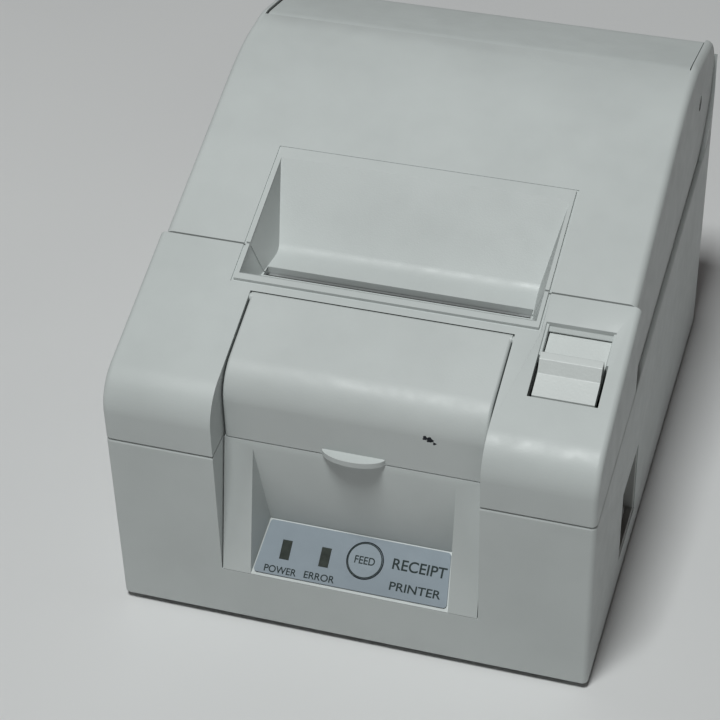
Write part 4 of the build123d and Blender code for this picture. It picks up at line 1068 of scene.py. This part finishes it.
@dataclass
class Electronics:
    """Main board and the sockets at the back."""

    socket_edge: float = 0.15 * MM
    pins: int = 12
    pin_step: float = 1.8 * MM
    pin_set_in: float = 6.5 * MM
    pin_row: float = 1.3 * MM
    pin_size: Vector = field(default_factory=lambda: Vector((0.7, 6.6, 0.5)) * MM)

    def build(self, frame: dict) -> None:
        """Dress the boards and grow the contacts.
        """
        dress(frame, ("main_board",), Finish.BOARD)
        for node in ("power_inlet", "interface_port", "drawer_port"):
            socket = Refined(node, Finish.BLACK, Body.ROOT, "black_plastic", self.socket_edge)
            socket.build(frame)
        low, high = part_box("interface_port")
        middle = (low + high) / 2
        points = []
        for row in (-1, 1):
            for k in range(self.pins):
                x = middle.x + (k - (self.pins - 1) / 2) * self.pin_step
                z = middle.z + row * self.pin_row
                points.append(Vector((x, high.y - self.pin_set_in, z)))
        mesh = bars_on_points("interface_contacts", points, self.pin_size, Finish.BRASS)
        keep(mesh, "interface_contacts", Finish.BRASS, Body.ROOT)


@dataclass
class Base:
    """Feet and screws under the printer."""

    head_radius: float = 2.9 * MM
    head_sink: float = 0.3 * MM

    def build(self, frame: dict) -> None:
        """Build the underside.
        """
        Refined("rubber_feet", Finish.FOOT, Body.ROOT, "foot_rubber", 0.0).build(frame)
        dress(frame, ("base_screws",), Finish.STEEL)
        low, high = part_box("base_screws")
        inset = self.head_radius
        points = [
            Vector((x, y, low.z + self.head_sink))
            for x in (low.x + inset, high.x - inset)
            for y in (low.y + inset, high.y - inset)
        ]
        upside_down = Vector((math.pi, 0.0, 0.0))
        mesh = screw_heads("base_screw_heads", points, self.head_radius, upside_down)
        keep(mesh, "base_screw_heads", Finish.STEEL, Body.ROOT)


# ---------------------------------------------------------------- studio


@dataclass(frozen=True)
class Lamp:
    """A square soft light: its place, edge length, power in watts and colour."""

    name: str
    place: tuple[float, float, float]
    size: float
    power: float
    colour: Colour


AIM = Vector((0.0, 0.0, 0.07))
KEY_DIRECTION = Vector((-0.05, -0.33, 0.93))
KEY_REACH = 1.9


@dataclass
class Studio:
    """Plain pale floor, soft light and the camera."""

    floor_reach: float = 3.0
    floor_shades: tuple[Colour, Colour] = ((0.66, 0.66, 0.665), (0.70, 0.70, 0.70))
    lamps: tuple[Lamp, ...] = (
        Lamp("key", tuple(AIM + KEY_DIRECTION * KEY_REACH), 0.42, 26.5, (0.965, 1.0, 0.995)),
        Lamp("fill", (-1.5, 1.2, 1.3), 1.2, 2.0, (0.95, 0.97, 1.0)),
    )
    glow_colour: Colour = (1.0, 0.90, 0.86)
    glow_strength: float = 0.05
    camera_place: Vector = field(default_factory=lambda: Vector((0.143955, -0.527131, 0.480821)))
    heading: float = math.radians(17.766)
    dip: float = math.radians(-39.248)
    roll: float = math.radians(-1.697)
    lens: float = 108.9956

    def build(self) -> None:
        """Build the studio."""
        self.floor()
        self.lights()
        self.camera()

    def floor(self) -> None:
        """Lay the floor."""
        low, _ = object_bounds()
        reach = self.floor_reach
        corners = [(x * reach, y * reach, low.z) for x, y in ((-1, -1), (1, -1), (1, 1), (-1, 1))]
        mesh = bpy.data.meshes.new("floor")
        mesh.from_pydata(corners, [], [(0, 1, 2, 3)])
        floor = bpy.data.objects.new("floor", mesh)
        bpy.context.scene.collection.objects.link(floor)
        graph = ShaderGraph("floor_paper")
        graph.ramp(graph.noise(0.25, 3.0), *self.floor_shades)
        graph.shader.inputs["Roughness"].default_value = 0.85
        mesh.materials.append(graph.material)
        floor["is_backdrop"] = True

    def hang(self, lamp: Lamp) -> None:
        """Add one soft light that points at the printer.

        Args:
            lamp: The light.
        """
        light = bpy.data.lights.new(lamp.name, "AREA")
        light.size = lamp.size
        light.energy = lamp.power
        light.color = lamp.colour
        holder = bpy.data.objects.new(lamp.name, light)
        holder.location = lamp.place
        direction = AIM - Vector(lamp.place)
        holder.rotation_euler = direction.to_track_quat("-Z", "Y").to_euler()
        bpy.context.scene.collection.objects.link(holder)

    def lights(self) -> None:
        """Hang the lights and set the room's glow."""
        for lamp in self.lamps:
            self.hang(lamp)
        world = bpy.data.worlds.new("room")
        world.use_nodes = True
        background = world.node_tree.nodes["Background"]
        background.inputs["Color"].default_value = (*self.glow_colour, 1.0)
        background.inputs["Strength"].default_value = self.glow_strength
        bpy.context.scene.view_settings.view_transform = "Standard"
        bpy.context.scene.world = world

    def camera(self) -> None:
        """Set up the camera."""
        level = math.cos(self.dip)
        forward = Vector((
            -math.sin(self.heading) * level,
            math.cos(self.heading) * level,
            math.sin(self.dip),
        ))
        side = forward.cross(Vector((0, 0, 1))).normalized()
        upward = side.cross(forward)
        right = side * math.cos(self.roll) + upward * math.sin(self.roll)
        top = -side * math.sin(self.roll) + upward * math.cos(self.roll)
        turn = Matrix((right, top, -forward)).transposed()
        data = bpy.data.cameras.new("camera")
        data.lens = self.lens
        data.sensor_width = 36.0
        camera = bpy.data.objects.new("camera", data)
        camera.matrix_world = Matrix.Translation(self.camera_place) @ turn.to_4x4()
        bpy.context.scene.collection.objects.link(camera)
        bpy.context.scene.camera = camera


def main() -> None:
    """Build the printer round the frame."""
    logging.basicConfig(level=logging.INFO, format="%(message)s")
    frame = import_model()
    Studio().build()
    assemblies = (
        Casing(),
        Covers(),
        ControlPanel(),
        PowerSwitch(),
        PaperBay(),
        Mechanism(),
        Electronics(),
        Base(),
    )
    for assembly in assemblies:
        assembly.build(frame)
        LOG.info("%s built", type(assembly).__name__)


if __name__ == "__main__":
    main()
